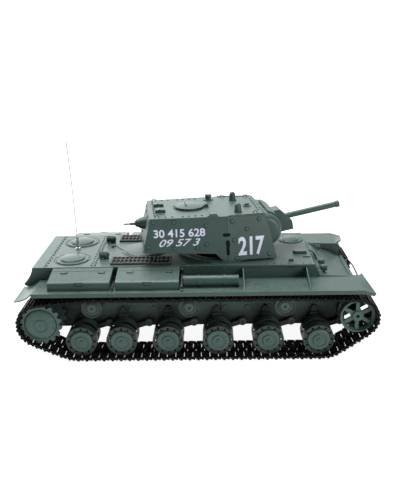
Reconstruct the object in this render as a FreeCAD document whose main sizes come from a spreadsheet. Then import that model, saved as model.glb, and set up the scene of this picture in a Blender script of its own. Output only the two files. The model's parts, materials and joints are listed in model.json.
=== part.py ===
import FreeCAD, Part
import math
import os
import re
import Sketcher

# A 1/16 scale radio controlled heavy tank. Millimetres. +X is the tank's front, +Y its left side, +Z up.
# The origin is on the ground, under the middle of the whole model. The turret and the gun are drawn
# turned and raised as they rest, by the two angles turret_yaw and gun_elevation.

SIZES = {
    # hull
    "hull_half": 60, "wall": 2.5, "belly_z": 25.5, "split_z": 84.5, "deck_z": 101.4,
    "deck_front": 138.8, "glacis_back": 145.7, "glacis_back_z": 87.5, "glacis_front": 189.8,
    "glacis_front_z": 69.2, "nose_x": 194.5, "nose_low_x": 192, "nose_low_z": 48, "belly_front": 163,
    "belly_rear": 176, "stern_x": 199, "stern_low_z": 42, "deck_rear": 193.2, "overhang_x": 205,
    "overhang_z": 81, "overhang_low_z": 78.4, "overhang_radius": 34,
    # fenders and what stands on them
    "fender_z": 86.2, "fender_thick": 1.5, "fender_half": 103.75, "rim_low_z": 81.5,
    "fender_rear": 184.8, "fender_front": 188, "curl_x": 205.2, "curl_z": 77.6,
    "flap_x": 200.8, "flap_z": 82, "flap_peak_z": 90.4,
    "box_face": 95, "box_bend_z": 96.2, "box_top_z": 100.9, "box_one_rear": 168, "box_one_front": 97.4,
    "box_two_rear": 91.2, "box_two_front": 19, "drum_radius": 6, "drum_rear": 14.2,
    "drum_length": 63, "drum_y": 84,
    # running gear
    "track_y": 82, "track_width": 41, "track_pitch": 10, "sprocket_teeth": 16,
    "wheel_radius": 18, "wheel_z": 22.5, "axle_radius": 3, "running_gap": 0.05,
    "channel_half": 3.5, "cap_radius": 12.9, "rim_hole_ring": 15.1, "rim_hole_radius": 1.3,
    "arm_reach": 29.5, "arm_drop": 9.3, "arm_inner": 61.3, "arm_outer": 66.3,
    "roller_radius": 12, "roller_z": 61.8, "idler_radius": 19.8, "idler_z": 50.4,
    "sprocket_x": 179.7, "sprocket_z": 45.4, "tooth_tip": 24.85, "tooth_root": 21.3, "lane_y": 13,
    "lane_half": 1.8, "shaft_radius": 4,
    "pin_line_z": 2.4, "link_inner": 1.9, "link_outer": 1.0, "grouser_height": 2.4, "knuckle_radius": 1.6,
    "horn_height": 6.5, "horn_half": 2, "pin_radius": 0.75, "pin_bore": 0.82,
    # turret, in its own frame: u forward and v left of the turning axis
    "turret_x": 27.8, "turret_yaw": 7.5, "gun_elevation": 10.5, "turret_low_z": 104, "roof_under_z": 155.5,
    "roof_z": 157, "roof_rear": 87, "roof_front": 49.6, "roof_rear_half": 42.7, "roof_mid_half": 46.9,
    "roof_front_half": 42.5, "foot_rear": 99.5, "foot_front": 62.6, "foot_rear_half": 51.2,
    "foot_mid_half": 52.6, "foot_front_half": 50.2, "bustle_rear_z": 118.4, "bustle_front_z": 113.2,
    "floor_z": 122, "collar_radius": 52.3, "collar_z": 103.7, "ring_bore": 44.3, "ring_gap": 0.09,
    "trunnion_u": 50.5, "trunnion_z": 133.6, "cheek_radius": 20.8, "cheek_half": 40, "cheek_round": 8,
    "mantlet_radius": 22.7, "mantlet_thick": 1.5, "mantlet_half": 28, "slot_half": 13.5,
    "housing_half": 9.5, "barrel_start": 22, "barrel_tip": 103.5, "barrel_radius": 3.6,
    "hatch_u": 36.5, "hatch_v": 1.5, "hatch_radius": 17.7,
    # engine deck
    "antenna_x": 151.8, "antenna_y": 6, "antenna_top_z": 238.9, "dome_x": 65.7, "dome_radius": 28,
    "dome_height": 2.2,
    "grille_rear": 102, "grille_front": 30, "grille_inner": 31, "grille_outer": 54,
}
WHEEL_X = (140.6, 82.6, 24.6, -33.4, -87.4, -134.4)
ROLLER_X = (101.6, -8.3, -120.5)
LINK_COUNT = 89
HINGE_U, HINGE_Z = -15.6, 159.8
SCREW_PLACES = ((-138, 48), (-138, -48), (128, 48), (128, -48))
ORIGIN = FreeCAD.Vector(0, 0, 0)
TURNS = {
    "z": FreeCAD.Rotation(),
    "y": FreeCAD.Rotation(FreeCAD.Vector(1, 0, 0), -90),
    "x": FreeCAD.Rotation(FreeCAD.Vector(0, 1, 0), 90),
}

doc = FreeCAD.newDocument("rc_tank")
sheet = doc.addObject("Spreadsheet::Sheet", "Sizes")
for row, (alias, size) in enumerate(SIZES.items(), 1):
    sheet.set(f"A{row}", str(size))
    sheet.setAlias(f"A{row}", alias)
doc.recompute()
probe = doc.addObject("App::FeaturePython", "Probe")
probe.addProperty("App::PropertyFloat", "Result")
sub_parts = []


# ---- small tools: expressions, sketches, primitives ----


def bound(text):
    """An expression in which every alias points at its cell."""
    return re.sub(r"[a-z][a-z_]*", lambda w: f"Sizes.{w[0]}" if w[0] in SIZES else w[0], str(text))


def number(text):
    """The present value of an expression."""
    probe.setExpression("Result", bound(text))
    probe.recompute()
    return probe.Result


def bind(item, **expressions):
    for name, text in expressions.items():
        item.setExpression(name, bound(text))
    return item


def move(item, x=0, y=0, z=0, turn=None):
    """Place an object by three expressions and, if given, a fixed turn."""
    if turn is not None:
        item.Placement = FreeCAD.Placement(ORIGIN, turn)
    for axis, text in zip("xyz", (x, y, z)):
        item.setExpression(f"Placement.Base.{axis}", bound(text))
    return item


def keep(label, item):
    """Name a finished sub-part; its label is its file's name."""
    item.Label = label
    sub_parts.append(item)
    return item


def new_body(name):
    return doc.addObject("PartDesign::Body", name)


def new_sketch(body, name, role, offset=None):
    sketch = body.newObject("Sketcher::SketchObject", name)
    plane = next(feature for feature in body.Origin.OriginFeatures if feature.Role == role)
    sketch.AttachmentSupport = (plane, [""])
    sketch.MapMode = "FlatFace"
    if offset is not None:
        sketch.setExpression("AttachmentOffset.Base.z", bound(offset))
    return sketch


def fix(sketch, kind, places, text):
    """A dimension of the sketch, tied to an expression."""
    index = sketch.addConstraint(Sketcher.Constraint(kind, *places, number(text)))
    sketch.setExpression(f"Constraints[{index}]", bound(text))


def outline(sketch, corners):
    """A closed outline. A corner is (x, y), or (x, y, radius) where an arc leads to the next corner:
    a positive radius bulges to the right of the way there, a negative one to the left."""
    points = [FreeCAD.Vector(number(c[0]), number(c[1]), 0) for c in corners]
    first, count = sketch.GeometryCount, len(corners)
    ends = []
    for i, corner in enumerate(corners):
        a, b = points[i], points[(i + 1) % count]
        if len(corner) == 2:
            sketch.addGeometry(Part.LineSegment(a, b))
            ends.append((1, 2))
            continue
        radius = number(corner[2])
        start, end = (a, b) if radius > 0 else (b, a)
        half = (end - start) * 0.5
        rise = math.sqrt(radius ** 2 - half.Length ** 2) / half.Length
        centre = start + half + FreeCAD.Vector(-half.y, half.x, 0) * rise
        opening = 2 * math.asin(half.Length / abs(radius))
        begin = math.atan2(start.y - centre.y, start.x - centre.x)
        ring = Part.Circle(centre, FreeCAD.Vector(0, 0, 1), abs(radius))
        sketch.addGeometry(Part.ArcOfCircle(ring, begin, begin + opening))
        ends.append((1, 2) if radius > 0 else (2, 1))
    for i in range(count):
        after = (i + 1) % count
        joined = (first + i, ends[i][1], first + after, ends[after][0])
        sketch.addConstraint(Sketcher.Constraint("Coincident", *joined))
    for i, corner in enumerate(corners):
        fix(sketch, "DistanceX", (-1, 1, first + i, ends[i][0]), corner[0])
        fix(sketch, "DistanceY", (-1, 1, first + i, ends[i][0]), corner[1])
        if len(corner) == 3:
            fix(sketch, "Radius", (first + i,), f"abs({corner[2]})")


def circle(sketch, x, y, radius):
    centre = FreeCAD.Vector(number(x), number(y), 0)
    index = sketch.addGeometry(Part.Circle(centre, FreeCAD.Vector(0, 0, 1), number(radius)))
    fix(sketch, "DistanceX", (-1, 1, index, 3), x)
    fix(sketch, "DistanceY", (-1, 1, index, 3), y)
    fix(sketch, "Radius", (index,), radius)


def grow(body, kind, sketch, length, both=False, back=False):
    """A Pad or a Pocket of a sketch, by a length tied to an expression."""
    feature = body.newObject(f"PartDesign::{kind}", f"{body.Name}_{kind}")
    feature.Profile = sketch
    bind(feature, Length=length)
    if both:
        feature.Midplane = True
    feature.Reversed = back
    sketch.Visibility = False
    return feature


def turn_around(body, kind, sketch, axis="V_Axis"):
    """A Revolution or a Groove of a sketch, a full turn about one of its axes."""
    feature = body.newObject(f"PartDesign::{kind}", f"{body.Name}_{kind}")
    feature.Profile = sketch
    feature.ReferenceAxis = (sketch, [axis])
    feature.Angle = 360
    return feature


def ring_of(body, features, count, role="Y_Axis"):
    """A polar pattern of features about one of the body's axes."""
    pattern = body.newObject("PartDesign::PolarPattern", f"{body.Name}_Ring")
    pattern.Originals = features
    pattern.Axis = (next(f for f in body.Origin.OriginFeatures if f.Role == role), [""])
    pattern.Angle = 360
    bind(pattern, Occurrences=count)
    body.Tip = pattern
    return pattern


def box(name, size, x=0, y=0, z=0, turn=None):
    item = doc.addObject("Part::Box", name)
    bind(item, Length=size[0], Width=size[1], Height=size[2])
    return move(item, x, y, z, turn)


def span_box(name, xs, ys, zs):
    """A box between pairs of expressions along each axis."""
    sizes = [f"({high})-({low})" for low, high in (xs, ys, zs)]
    return box(name, sizes, xs[0], ys[0], zs[0])


def rod(name, radius, length, x=0, y=0, z=0, along="z"):
    item = doc.addObject("Part::Cylinder", name)
    bind(item, Radius=radius, Height=length)
    return move(item, x, y, z, TURNS[along])


def cone(name, low_radius, high_radius, length, x=0, y=0, z=0, along="z"):
    item = doc.addObject("Part::Cone", name)
    bind(item, Radius1=low_radius, Radius2=high_radius, Height=length)
    return move(item, x, y, z, TURNS[along])


def cap(name, radius, height, x, y, z):
    """A low dome: the top slice of a ball, standing on a plane."""
    item = doc.addObject("Part::Sphere", name)
    ball = f"(({radius})^2+({height})^2)/(2*({height}))"
    bind(item, Radius=ball, Angle1=f"asin(1-({height})/({ball}))")
    return move(item, x, y, f"({z})+({height})-({ball})")


def fused(name, items):
    item = doc.addObject("Part::MultiFuse", name)
    item.Shapes = items
    item.Refine = True
    return item


def cut(name, base, tools):
    item = doc.addObject("Part::Cut", name)
    item.Base = base
    item.Tool = tools[0] if len(tools) == 1 else fused(f"{name}_tools", tools)
    return item


def group(name, items):
    item = doc.addObject("Part::Compound", name)
    item.Links = items
    return item


def across(side, inner, outer):
    """The low end and the length, along Y, of a stretch between two distances out from the middle."""
    low = inner if side > 0 else f"-({outer})"
    return low, f"({outer})-({inner})"


def bent_tube(name, radius, points):
    """A wire or cord of straight runs joined by tangent arcs, each as large as its two runs allow."""
    corners = [FreeCAD.Vector(*p) for p in points]
    edges, here = [], corners[0]
    for before, corner, after in zip(corners, corners[1:], corners[2:]):
        arriving, leaving = (corner - before).normalize(), (after - corner).normalize()
        turn = math.acos(max(-1, min(1, arriving.dot(leaving))))
        reach = 0.45 * min((corner - before).Length, (after - corner).Length)
        start, end = corner - arriving * reach, corner + leaving * reach
        middle = corner + (leaving - arriving).normalize() * (reach * math.tan(turn / 4))
        edges += [Part.LineSegment(here, start).toShape(), Part.Arc(start, middle, end).toShape()]
        here = end
    edges.append(Part.LineSegment(here, corners[-1]).toShape())
    path = Part.Wire(edges)
    heading = corners[1] - corners[0]
    section = Part.Wire(Part.Circle(corners[0], heading, radius).toShape())
    item = doc.addObject("Part::Feature", name)
    item.Shape = path.makePipeShell([section], True, False)
    print(f"{name} is {path.Length:.1f} mm long")
    return item


# ---- hull ----


def lower_hull():
    """The tub: belly, nose and stern, with the bosses and stubs that the running gear turns on."""
    body = new_body("tub")
    side = new_sketch(body, "tub_side", "XZ_Plane")
    outline(side, [
        ("-belly_rear", "belly_z"), ("belly_front", "belly_z"), ("nose_low_x", "nose_low_z"),
        ("nose_x", "glacis_front_z-wall"), ("glacis_front", "glacis_front_z-wall"),
        ("glacis_back", "split_z"), ("-stern_x", "split_z"), ("-stern_x", "stern_low_z"),
    ])
    grow(body, "Pad", side, "2*hull_half", both=True)
    inside = new_sketch(body, "tub_inside", "XZ_Plane")
    outline(inside, [
        ("wall-belly_rear", "belly_z+wall"), ("belly_front-wall", "belly_z+wall"),
        ("nose_low_x-wall", "nose_low_z+wall/2"), ("nose_x-wall-2", "glacis_front_z"),
        ("glacis_back", "split_z+10"), ("wall-stern_x", "split_z+10"),
        ("wall-stern_x", "stern_low_z+wall/2"),
    ])
    grow(body, "Pocket", inside, "2*(hull_half-wall)", both=True)

    added, holes = [], []
    for side in (1, -1):
        tag = "l" if side > 0 else "r"
        for i, x in enumerate(WHEEL_X, 1):
            pivot_x, pivot_z = f"{x}+arm_reach", "wheel_z+arm_drop"
            low, length = across(side, "hull_half-wall-4", "hull_half+1")
            added.append(rod(f"arm_boss_{tag}{i}", 6.5, length, pivot_x, low, pivot_z, "y"))
            low, length = across(side, "hull_half-wall-7", "hull_half+2")
            bore = rod(f"arm_bore_{tag}{i}", "axle_radius+running_gap", length, pivot_x, low, pivot_z, "y")
            holes.append(bore)
            low, length = across(side, "hull_half-0.5", "arm_outer-1.3")
            added.append(box(f"bump_stop_{tag}{i}", (10, length, 4.4), f"{x}-6.3", low, 37.8))
        for i, x in enumerate(ROLLER_X, 1):
            low, length = across(side, "hull_half-1", "hull_half+4")
            added.append(rod(f"roller_foot_{tag}{i}", 7, length, x, low, "roller_z", "y"))
            low, length = across(side, "hull_half-1", "track_y+6.5")
            added.append(rod(f"roller_stub_{tag}{i}", "axle_radius", length, x, low, "roller_z", "y"))
        low, length = across(side, "hull_half-1", "hull_half+5")
        added.append(rod(f"idler_foot_{tag}", 9, length, IDLER_X, low, "idler_z", "y"))
        low, length = across(side, "hull_half-1", "track_y+9.5")
        added.append(rod(f"idler_stub_{tag}", "shaft_radius", length, IDLER_X, low, "idler_z", "y"))
        low, length = across(side, "hull_half-wall", "arm_outer")
        added.append(rod(f"drive_case_{tag}", 13, length, "-sprocket_x", low, "sprocket_z", "y"))
        low, length = across(side, "hull_half-wall-1", "arm_outer+1")
        bore = rod(f"drive_bore_{tag}", "shaft_radius+running_gap", length, "-sprocket_x", low, "sprocket_z", "y")
        holes.append(bore)
        for i, x in enumerate(((ROLLER_X[0] + ROLLER_X[1]) / 2, (ROLLER_X[1] + ROLLER_X[2]) / 2), 1):
            low, length = across(side, "hull_half-0.5", "hull_half+2")
            added.append(box(f"side_plate_{tag}{i}", (35, length, 12.5), x - 17.5, low, 43.5))
            low, length = across(side, "hull_half+1.5", "hull_half+3.5")
            for k in (-13.4, 13.4):
                added.append(rod(f"plate_boss_{tag}{i}_{k > 0:d}", 2.5, length, x + k, low, 49.6, "y"))
    for i, (x, y) in enumerate(SCREW_PLACES, 1):
        added.append(rod(f"screw_post_{i}", 5, "split_z-belly_z", x, y, "belly_z"))
        holes.append(rod(f"screw_well_{i}", 3.2, "76-belly_z+1", x, y, "belly_z-1"))
        holes.append(rod(f"screw_hole_{i}", 1.7, 20, x, y, 70))
    for i, (x, y) in enumerate(((-88, 30), (-88, -30), (-16, 30), (-16, -30)), 1):
        added.append(rod(f"board_post_{i}", 2.5, "58-belly_z", x, y, "belly_z"))
    holes.append(span_box("hatch_hole", (-60, 40), (-22, 22), ("belly_z-1", "belly_z+wall+1")))
    holes.append(span_box("switch_hole", (86, 96), (28, 33), ("belly_z-1", "belly_z+wall+1")))
    keep("lower_hull", cut("lower_hull_cut", fused("lower_hull_whole", [body] + added), holes))


def upper_hull():
    """Deck, driver's plate, glacis and rounded stern over the tub, with the turret's fixed collar."""
    body = new_body("casing")
    side = new_sketch(body, "casing_side", "XZ_Plane")
    outline(side, [
        ("deck_front", "deck_z"), ("-deck_rear", "deck_z", "-overhang_radius"),
        ("-overhang_x", "overhang_z"), ("-(overhang_x-3.2)", "overhang_low_z"),
        ("-stern_x", "overhang_low_z"), ("-stern_x", "split_z"), ("glacis_back", "split_z"),
        ("glacis_front", "glacis_front_z-wall"), ("nose_x", "glacis_front_z-wall"),
        ("nose_x", "glacis_front_z"), ("glacis_front", "glacis_front_z"), ("glacis_back", "glacis_back_z"),
    ])
    grow(body, "Pad", side, "2*hull_half", both=True)
    inside = new_sketch(body, "casing_inside", "XZ_Plane")
    outline(inside, [
        ("deck_front-wall", "deck_z-wall"), ("-deck_rear", "deck_z-wall"), ("-stern_x", "split_z+3"),
        ("wall-stern_x", "split_z-1"), ("glacis_back-wall", "split_z-1"),
    ])
    grow(body, "Pocket", inside, "2*(hull_half-wall)", both=True)
    ring = new_sketch(body, "ring_hole", "XY_Plane", "deck_z+5")
    circle(ring, "turret_x", 0, "ring_bore")
    grow(body, "Pocket", ring, 15)
    collar = new_sketch(body, "collar_ring", "XY_Plane", "deck_z")
    circle(collar, "turret_x", 0, "collar_radius")
    circle(collar, "turret_x", 0, "ring_bore")
    grow(body, "Pad", collar, "collar_z-deck_z")

    added, holes = [], []
    for side in (1, -1):
        cheek = new_body(f"bow_cheek_{side > 0:d}")
        face = new_sketch(cheek, f"bow_cheek_side_{side > 0:d}", "XZ_Plane", f"{-side}*(hull_half-wall/2)")
        outline(face, [
            ("glacis_back", "glacis_back_z"), ("glacis_front", "glacis_front_z"), ("glacis_front", "fender_z"),
        ])
        grow(cheek, "Pad", face, "wall", both=True)
        added.append(cheek)
    for i, (x, y) in enumerate(SCREW_PLACES, 1):
        added.append(rod(f"casing_post_{i}", 4, "deck_z-1-split_z", x, y, "split_z"))
        holes.append(rod(f"casing_post_hole_{i}", 1.4, 8, x, y, "split_z-0.5"))
    for side in (1, -1):
        holes.append(rod(f"exhaust_hole_{side > 0:d}", 3.2, 6, -110, f"{side}*30", "deck_z-4"))
    keep("upper_hull", cut("upper_hull_cut", fused("upper_hull_whole", [body] + added), holes))


def fender(side):
    """One fender: flat plate, curled rear end, twisted front flap, outer rim and three brackets."""
    tag = "l" if side > 0 else "r"
    body = new_body(f"fender_{tag}")
    sheet_side = new_sketch(body, f"fender_side_{tag}", "XZ_Plane", f"{-side}*(hull_half+fender_half)/2")
    top, under = "fender_z", "fender_z-fender_thick"
    outline(sheet_side, [
        ("fender_front", top), ("-fender_rear", top, "-30"), ("-curl_x", "curl_z"),
        ("-curl_x+1", "curl_z-1", "29"), ("-fender_rear", under), ("fender_front", under),
    ])
    grow(body, "Pad", sheet_side, "fender_half-hull_half", both=True)
    rim = new_sketch(body, f"fender_rim_{tag}", "XZ_Plane", f"{-side}*(fender_half-fender_thick/2)")
    outline(rim, [
        ("flap_x-0.8", "flap_z-0.4"), ("fender_front", "fender_z-0.2"), ("-fender_rear", "fender_z-0.2"),
        ("-fender_rear", "rim_low_z"), ("fender_front", "rim_low_z"), ("flap_x-1.5", "flap_z-3"),
    ])
    grow(body, "Pad", rim, "fender_thick", both=True)
    flap = new_body(f"front_flap_{tag}")
    inner_end = new_sketch(flap, f"flap_inner_{tag}", "XZ_Plane", f"{-side}*(hull_half+2)")
    outline(inner_end, [("fender_front-1", top), ("fender_front-1", under), ("fender_front+1", under),
                        ("fender_front+6", "flap_peak_z-1"), ("fender_front+5.4", "flap_peak_z")])
    outer_end = new_sketch(flap, f"flap_outer_{tag}", "XZ_Plane", f"{-side}*fender_half")
    outline(outer_end, [("fender_front-1", top), ("fender_front-1", under), ("fender_front+1", under),
                        ("flap_x-0.4", "flap_z-1.2"), ("flap_x", "flap_z")])
    loft = flap.newObject("PartDesign::AdditiveLoft", f"flap_loft_{tag}")
    loft.Profile, loft.Sections, loft.Ruled = inner_end, [outer_end], True
    parts = [body, flap]
    for i, x in enumerate((-16.4, 54.8, 128.8), 1):
        bracket = new_body(f"bracket_{tag}{i}")
        face = new_sketch(bracket, f"bracket_face_{tag}{i}", "YZ_Plane", x)
        outline(face, [
            (f"{side}*hull_half", "fender_z-0.5"), (f"{side}*(fender_half-3.5)", "fender_z-0.5"),
            (f"{side}*(fender_half-3.5)", "fender_z+0.6"), (f"{side}*hull_half", "deck_z-2.4"),
        ])
        grow(bracket, "Pad", face, 1.2, both=True)
        parts.append(bracket)
    return fused(f"fender_whole_{tag}", parts)


def fenders():
    keep("fenders", group("fender_pair", [fender(1), fender(-1)]))


def stowage_box(name, side, rear, front):
    """A fender box: upright outer face, rounded bend and a lid that rises to the deck's edge."""
    body = new_body(name)
    end = new_sketch(body, f"{name}_end", "YZ_Plane", f"-({rear})")
    y = (lambda text: f"{side}*({text})")
    bend = "-5" if side > 0 else "5"
    outline(end, [
        (y("hull_half+0.1"), "fender_z"), (y("hull_half+0.1"), "box_top_z"),
        (y("hull_half+7"), "box_top_z-1"), (y("box_face-4.5"), "box_bend_z", bend),
        (y("box_face"), "box_bend_z-4.5"), (y("box_face"), "fender_z"),
    ])
    grow(body, "Pad", end, f"({rear})-({front})")
    return body


def fender_stowage():
    """Two boxes a side, a cylindrical tank with its bands, and a crowbar clipped under the deck's edge."""
    items = []
    for side in (1, -1):
        tag = "l" if side > 0 else "r"
        items.append(stowage_box(f"rear_box_{tag}", side, "box_one_rear", "box_one_front"))
        items.append(stowage_box(f"front_box_{tag}", side, "box_two_rear", "box_two_front"))
        y, z = f"{side}*drum_y", "fender_z+drum_radius+0.5"
        bands = [rod(f"drum_band_{tag}{i}", "drum_radius+0.5", 2, x, y, z, "x") for i, x in ((1, 3), (2, 32))]
        drum = rod(f"drum_{tag}", "drum_radius", "drum_length", "-drum_rear", y, z, "x")
        items.append(fused(f"drum_whole_{tag}", [drum] + bands))
        bar = rod(f"crowbar_{tag}", 0.8, 74, 55.6, f"{side}*(hull_half+1)", "deck_z-1.6", "x")
        y = f"{side}*(hull_half+1.2)-1.2"
        clips = [box(f"crowbar_clip_{tag}{x}", (3, 2.4, 2.4), x, y, "deck_z-2.8") for x in (66, 110)]
        items.append(fused(f"crowbar_whole_{tag}", [bar] + clips))
    keep("fender_stowage", group("stowage_group", items))


# ---- what stands on the deck ----


def low_hatch(name, radius, ring_radius, x, y, height):
    """A round armoured cover: a thin flat ring with a domed lid on it."""
    ring = rod(f"{name}_ring", ring_radius, 0.8, x, y, "deck_z")
    lid = cone(f"{name}_lid", f"{radius}+1", f"{radius}-1.6", height, x, y, "deck_z")
    dome = cap(f"{name}_dome", f"{radius}-1.6", 1.4, x, y, f"deck_z+{height}")
    return fused(name, [ring, lid, dome])


def deck_hatches():
    items = [low_hatch("driver_cover", 12.5, 15, 120.8, 32, 2)]
    items += [low_hatch(f"gearbox_cover_{s > 0:d}", 15.5, 20, -150.9, f"{s}*32", 2.6) for s in (1, -1)]
    rim = rod("engine_rim", "dome_radius+1.2", 0.4, "-dome_x", 0, "deck_z")
    edge = cone("engine_edge", "dome_radius", "dome_radius-2.4", "dome_height-0.8", "-dome_x", 0, "deck_z")
    dome = cap("engine_dome", "dome_radius-2.4", 0.8, "-dome_x", 0, "deck_z+dome_height-0.8")
    items.append(fused("engine_cover", [rim, edge, dome]))
    for i, x in enumerate((-179.7, -121.7), 1):
        items.append(box(f"deck_seam_{i}", (1, 116, 0.5), x - 0.5, -58, "deck_z"))
    keep("deck_hatches", group("hatch_group", items))


def grille(side):
    """A raised radiator grille: a frame with cross slats and a long bar down its middle."""
    tag = "l" if side > 0 else "r"
    low, length = across(side, "grille_inner", "grille_outer")
    size = ("grille_rear-grille_front", length, 2.2)
    whole = box(f"grille_block_{tag}", size, "-grille_rear", low, "deck_z")
    count = 14
    pitch = number("grille_rear-grille_front-3") / count
    slots = []
    for i in range(count):
        x = f"-grille_rear+2+{i}*{pitch:.4f}"
        for k, inner in enumerate(("grille_inner+1.5", "(grille_inner+grille_outer)/2+0.6")):
            start, run = across(side, inner, f"({inner})+(grille_outer-grille_inner)/2-2.1")
            slots.append(box(f"grille_slot_{tag}{i}_{k}", (pitch - 1.2, run, 3), x, start, "deck_z+0.8"))
    return cut(f"grille_{tag}", whole, slots)


def exhaust(side):
    """A short elbow that turns from the deck towards the stern."""
    tag = "l" if side > 0 else "r"
    riser = rod(f"exhaust_riser_{tag}", 3, 8, -110, f"{side}*30", "deck_z-3")
    elbow = doc.addObject("Part::Sphere", f"exhaust_elbow_{tag}")
    bind(elbow, Radius=4)
    move(elbow, -110, f"{side}*30", "deck_z+4.6")
    mouth = cone(f"exhaust_mouth_{tag}", 4.4, 3.9, 8, -118, f"{side}*30", "deck_z+4.6", "x")
    bore = rod(f"exhaust_bore_{tag}", 3.2, 7, -119, f"{side}*30", "deck_z+4.6", "x")
    return cut(f"exhaust_{tag}", fused(f"exhaust_solid_{tag}", [riser, elbow, mouth]), [bore])


def deck_grilles_and_exhausts():
    items = [make(side) for side in (1, -1) for make in (grille, exhaust)]
    keep("deck_grilles_and_exhausts", group("grille_group", items))


def antenna():
    """A bright foot ring, a clear tube and a thin whip that leans a little to the stern."""
    x, y = "-antenna_x", "antenna_y"
    foot = rod("antenna_foot", 3.2, 1.6, x, y, "deck_z")
    tube = rod("antenna_tube", 1.9, 15, x, y, "deck_z+1.6")
    rod_x, top = -number("antenna_x"), number("antenna_top_z")
    whip = bent_tube("antenna_whip", 0.45, [
        (rod_x, number("antenna_y"), number("deck_z+16.6")), (rod_x + 1, 6, 140), (rod_x + 0.6, 6, 175),
        (rod_x - 1.2, 6, 210), (rod_x - 3.2, 6, top),
    ])
    keep("antenna", group("antenna_group", [foot, tube, whip]))


def bow_mass(name):
    """The solid block of the bow, which cuts each fitting off where it meets the armour."""
    body = new_body(name)
    side = new_sketch(body, f"{name}_side", "XZ_Plane")
    outline(side, [
        ("deck_front", "deck_z"), (100, "deck_z"), (100, "nose_low_z"), ("nose_low_x", "nose_low_z"),
        ("nose_x", "glacis_front_z-wall"), ("nose_x", "glacis_front_z"), ("glacis_front", "glacis_front_z"),
        ("glacis_back", "glacis_back_z"),
    ])
    grow(body, "Pad", side, "2*hull_half", both=True)
    return body


def headlight():
    """A lamp and a horn on short posts at the glacis foot, right of the driver."""
    items = []
    for name, radius, x, y, z in (("lamp", 3.9, 151.6, -43, 91), ("horn", 3.3, 152.2, -21.5, 90.6)):
        case = rod(f"{name}_case", radius, 4.2, x, y, z, "x")
        ball = doc.addObject("Part::Sphere", f"{name}_back")
        bind(ball, Radius=radius)
        move(ball, x, y, z)
        post = rod(f"{name}_post", 1, f"{z}-78", x + 1.5, y, 78)
        foot = rod(f"{name}_foot", 2.2, 8.2, x + 1.5, y, 78)
        items.append(fused(f"{name}_whole", [case, ball, post, foot]))
    keep("headlight", cut("light_group", fused("light_pair", items), [bow_mass("light_trim")]))


def bow_fittings():
    """The driver's curved visor, the hull machine gun in its ball, and the deck's periscope hood."""
    visor = new_body("visor")
    side = new_sketch(visor, "visor_side", "XZ_Plane", 0)
    outline(side, [
        ("deck_front", "deck_z+0.9", "-16"), (149.8, 89), (147.8, 88.6, "14.5"), ("deck_front", "deck_z"),
    ])
    grow(visor, "Pad", side, 24, both=True)
    move(visor, 0, 2, 0)
    ball = doc.addObject("Part::Sphere", "bow_gun_ball")
    bind(ball, Radius=4.6)
    move(ball, 144, 30, 94)
    tilt = "atan((glacis_back-deck_front)/(deck_z-glacis_back_z))"
    flange = doc.addObject("Part::Cylinder", "bow_gun_flange")
    bind(flange, Radius=6.2, Height=2.4)
    move(flange, 141.4, 30, 93.5, FreeCAD.Rotation(FreeCAD.Vector(0, 1, 0), 90 - number(tilt)))
    barrel = rod("bow_gun_barrel", 1, 15, 145, 30, 94, "x")
    eye = span_box("cable_eye", (157.4, 163), (47.4, 52.6), (76, 86.2))
    hooks = [span_box(f"tow_hook_{y > 0:d}", (180, 199.6), (y - 2, y + 2), (58.6, 66)) for y in (-48, 48)]
    size = ("nose_x-glacis_front-0.3", 114, 0.8)
    strip = box("bow_strip", size, "glacis_front+0.1", -57, "glacis_front_z")
    hood = new_body("hood")
    plan = new_sketch(hood, "hood_plan", "XY_Plane", "deck_z")
    outline(plan, [(134, -24), (134, -14), (122.5, -14, 5.01), (122.5, -24)])
    grow(hood, "Pad", plan, 3.6)
    standing = fused("bow_standing", [fused("bow_gun", [ball, flange, barrel]), eye] + hooks)
    trimmed = cut("bow_trimmed", standing, [bow_mass("bow_trim")])
    keep("bow_fittings", group("bow_group", [visor, hood, strip, trimmed]))


def tow_cable():
    """The tow rope: from its eye on the glacis, down over the bow and across to the right tow hook."""
    keep("tow_cable", bent_tube("tow_rope", 0.9, [
        (163, 50, 84), (174, 53, 81), (185, 54, 76), (194, 51, 72.4), (198, 42, 70.6), (199.6, 28, 70.8),
        (199.9, 12, 71.6), (199.6, -4, 71.2), (199.2, -20, 70.4), (198.6, -34, 68), (197.4, -46, 64),
    ]))


# ---- running gear ----


def place_on_side(body, side, x, z):
    """Move a part built with its outboard side along +Y to one side's track line."""
    turn = FreeCAD.Rotation() if side > 0 else FreeCAD.Rotation(FreeCAD.Vector(0, 0, 1), 180)
    return move(body, x, f"{side}*track_y", z, turn)


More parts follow.
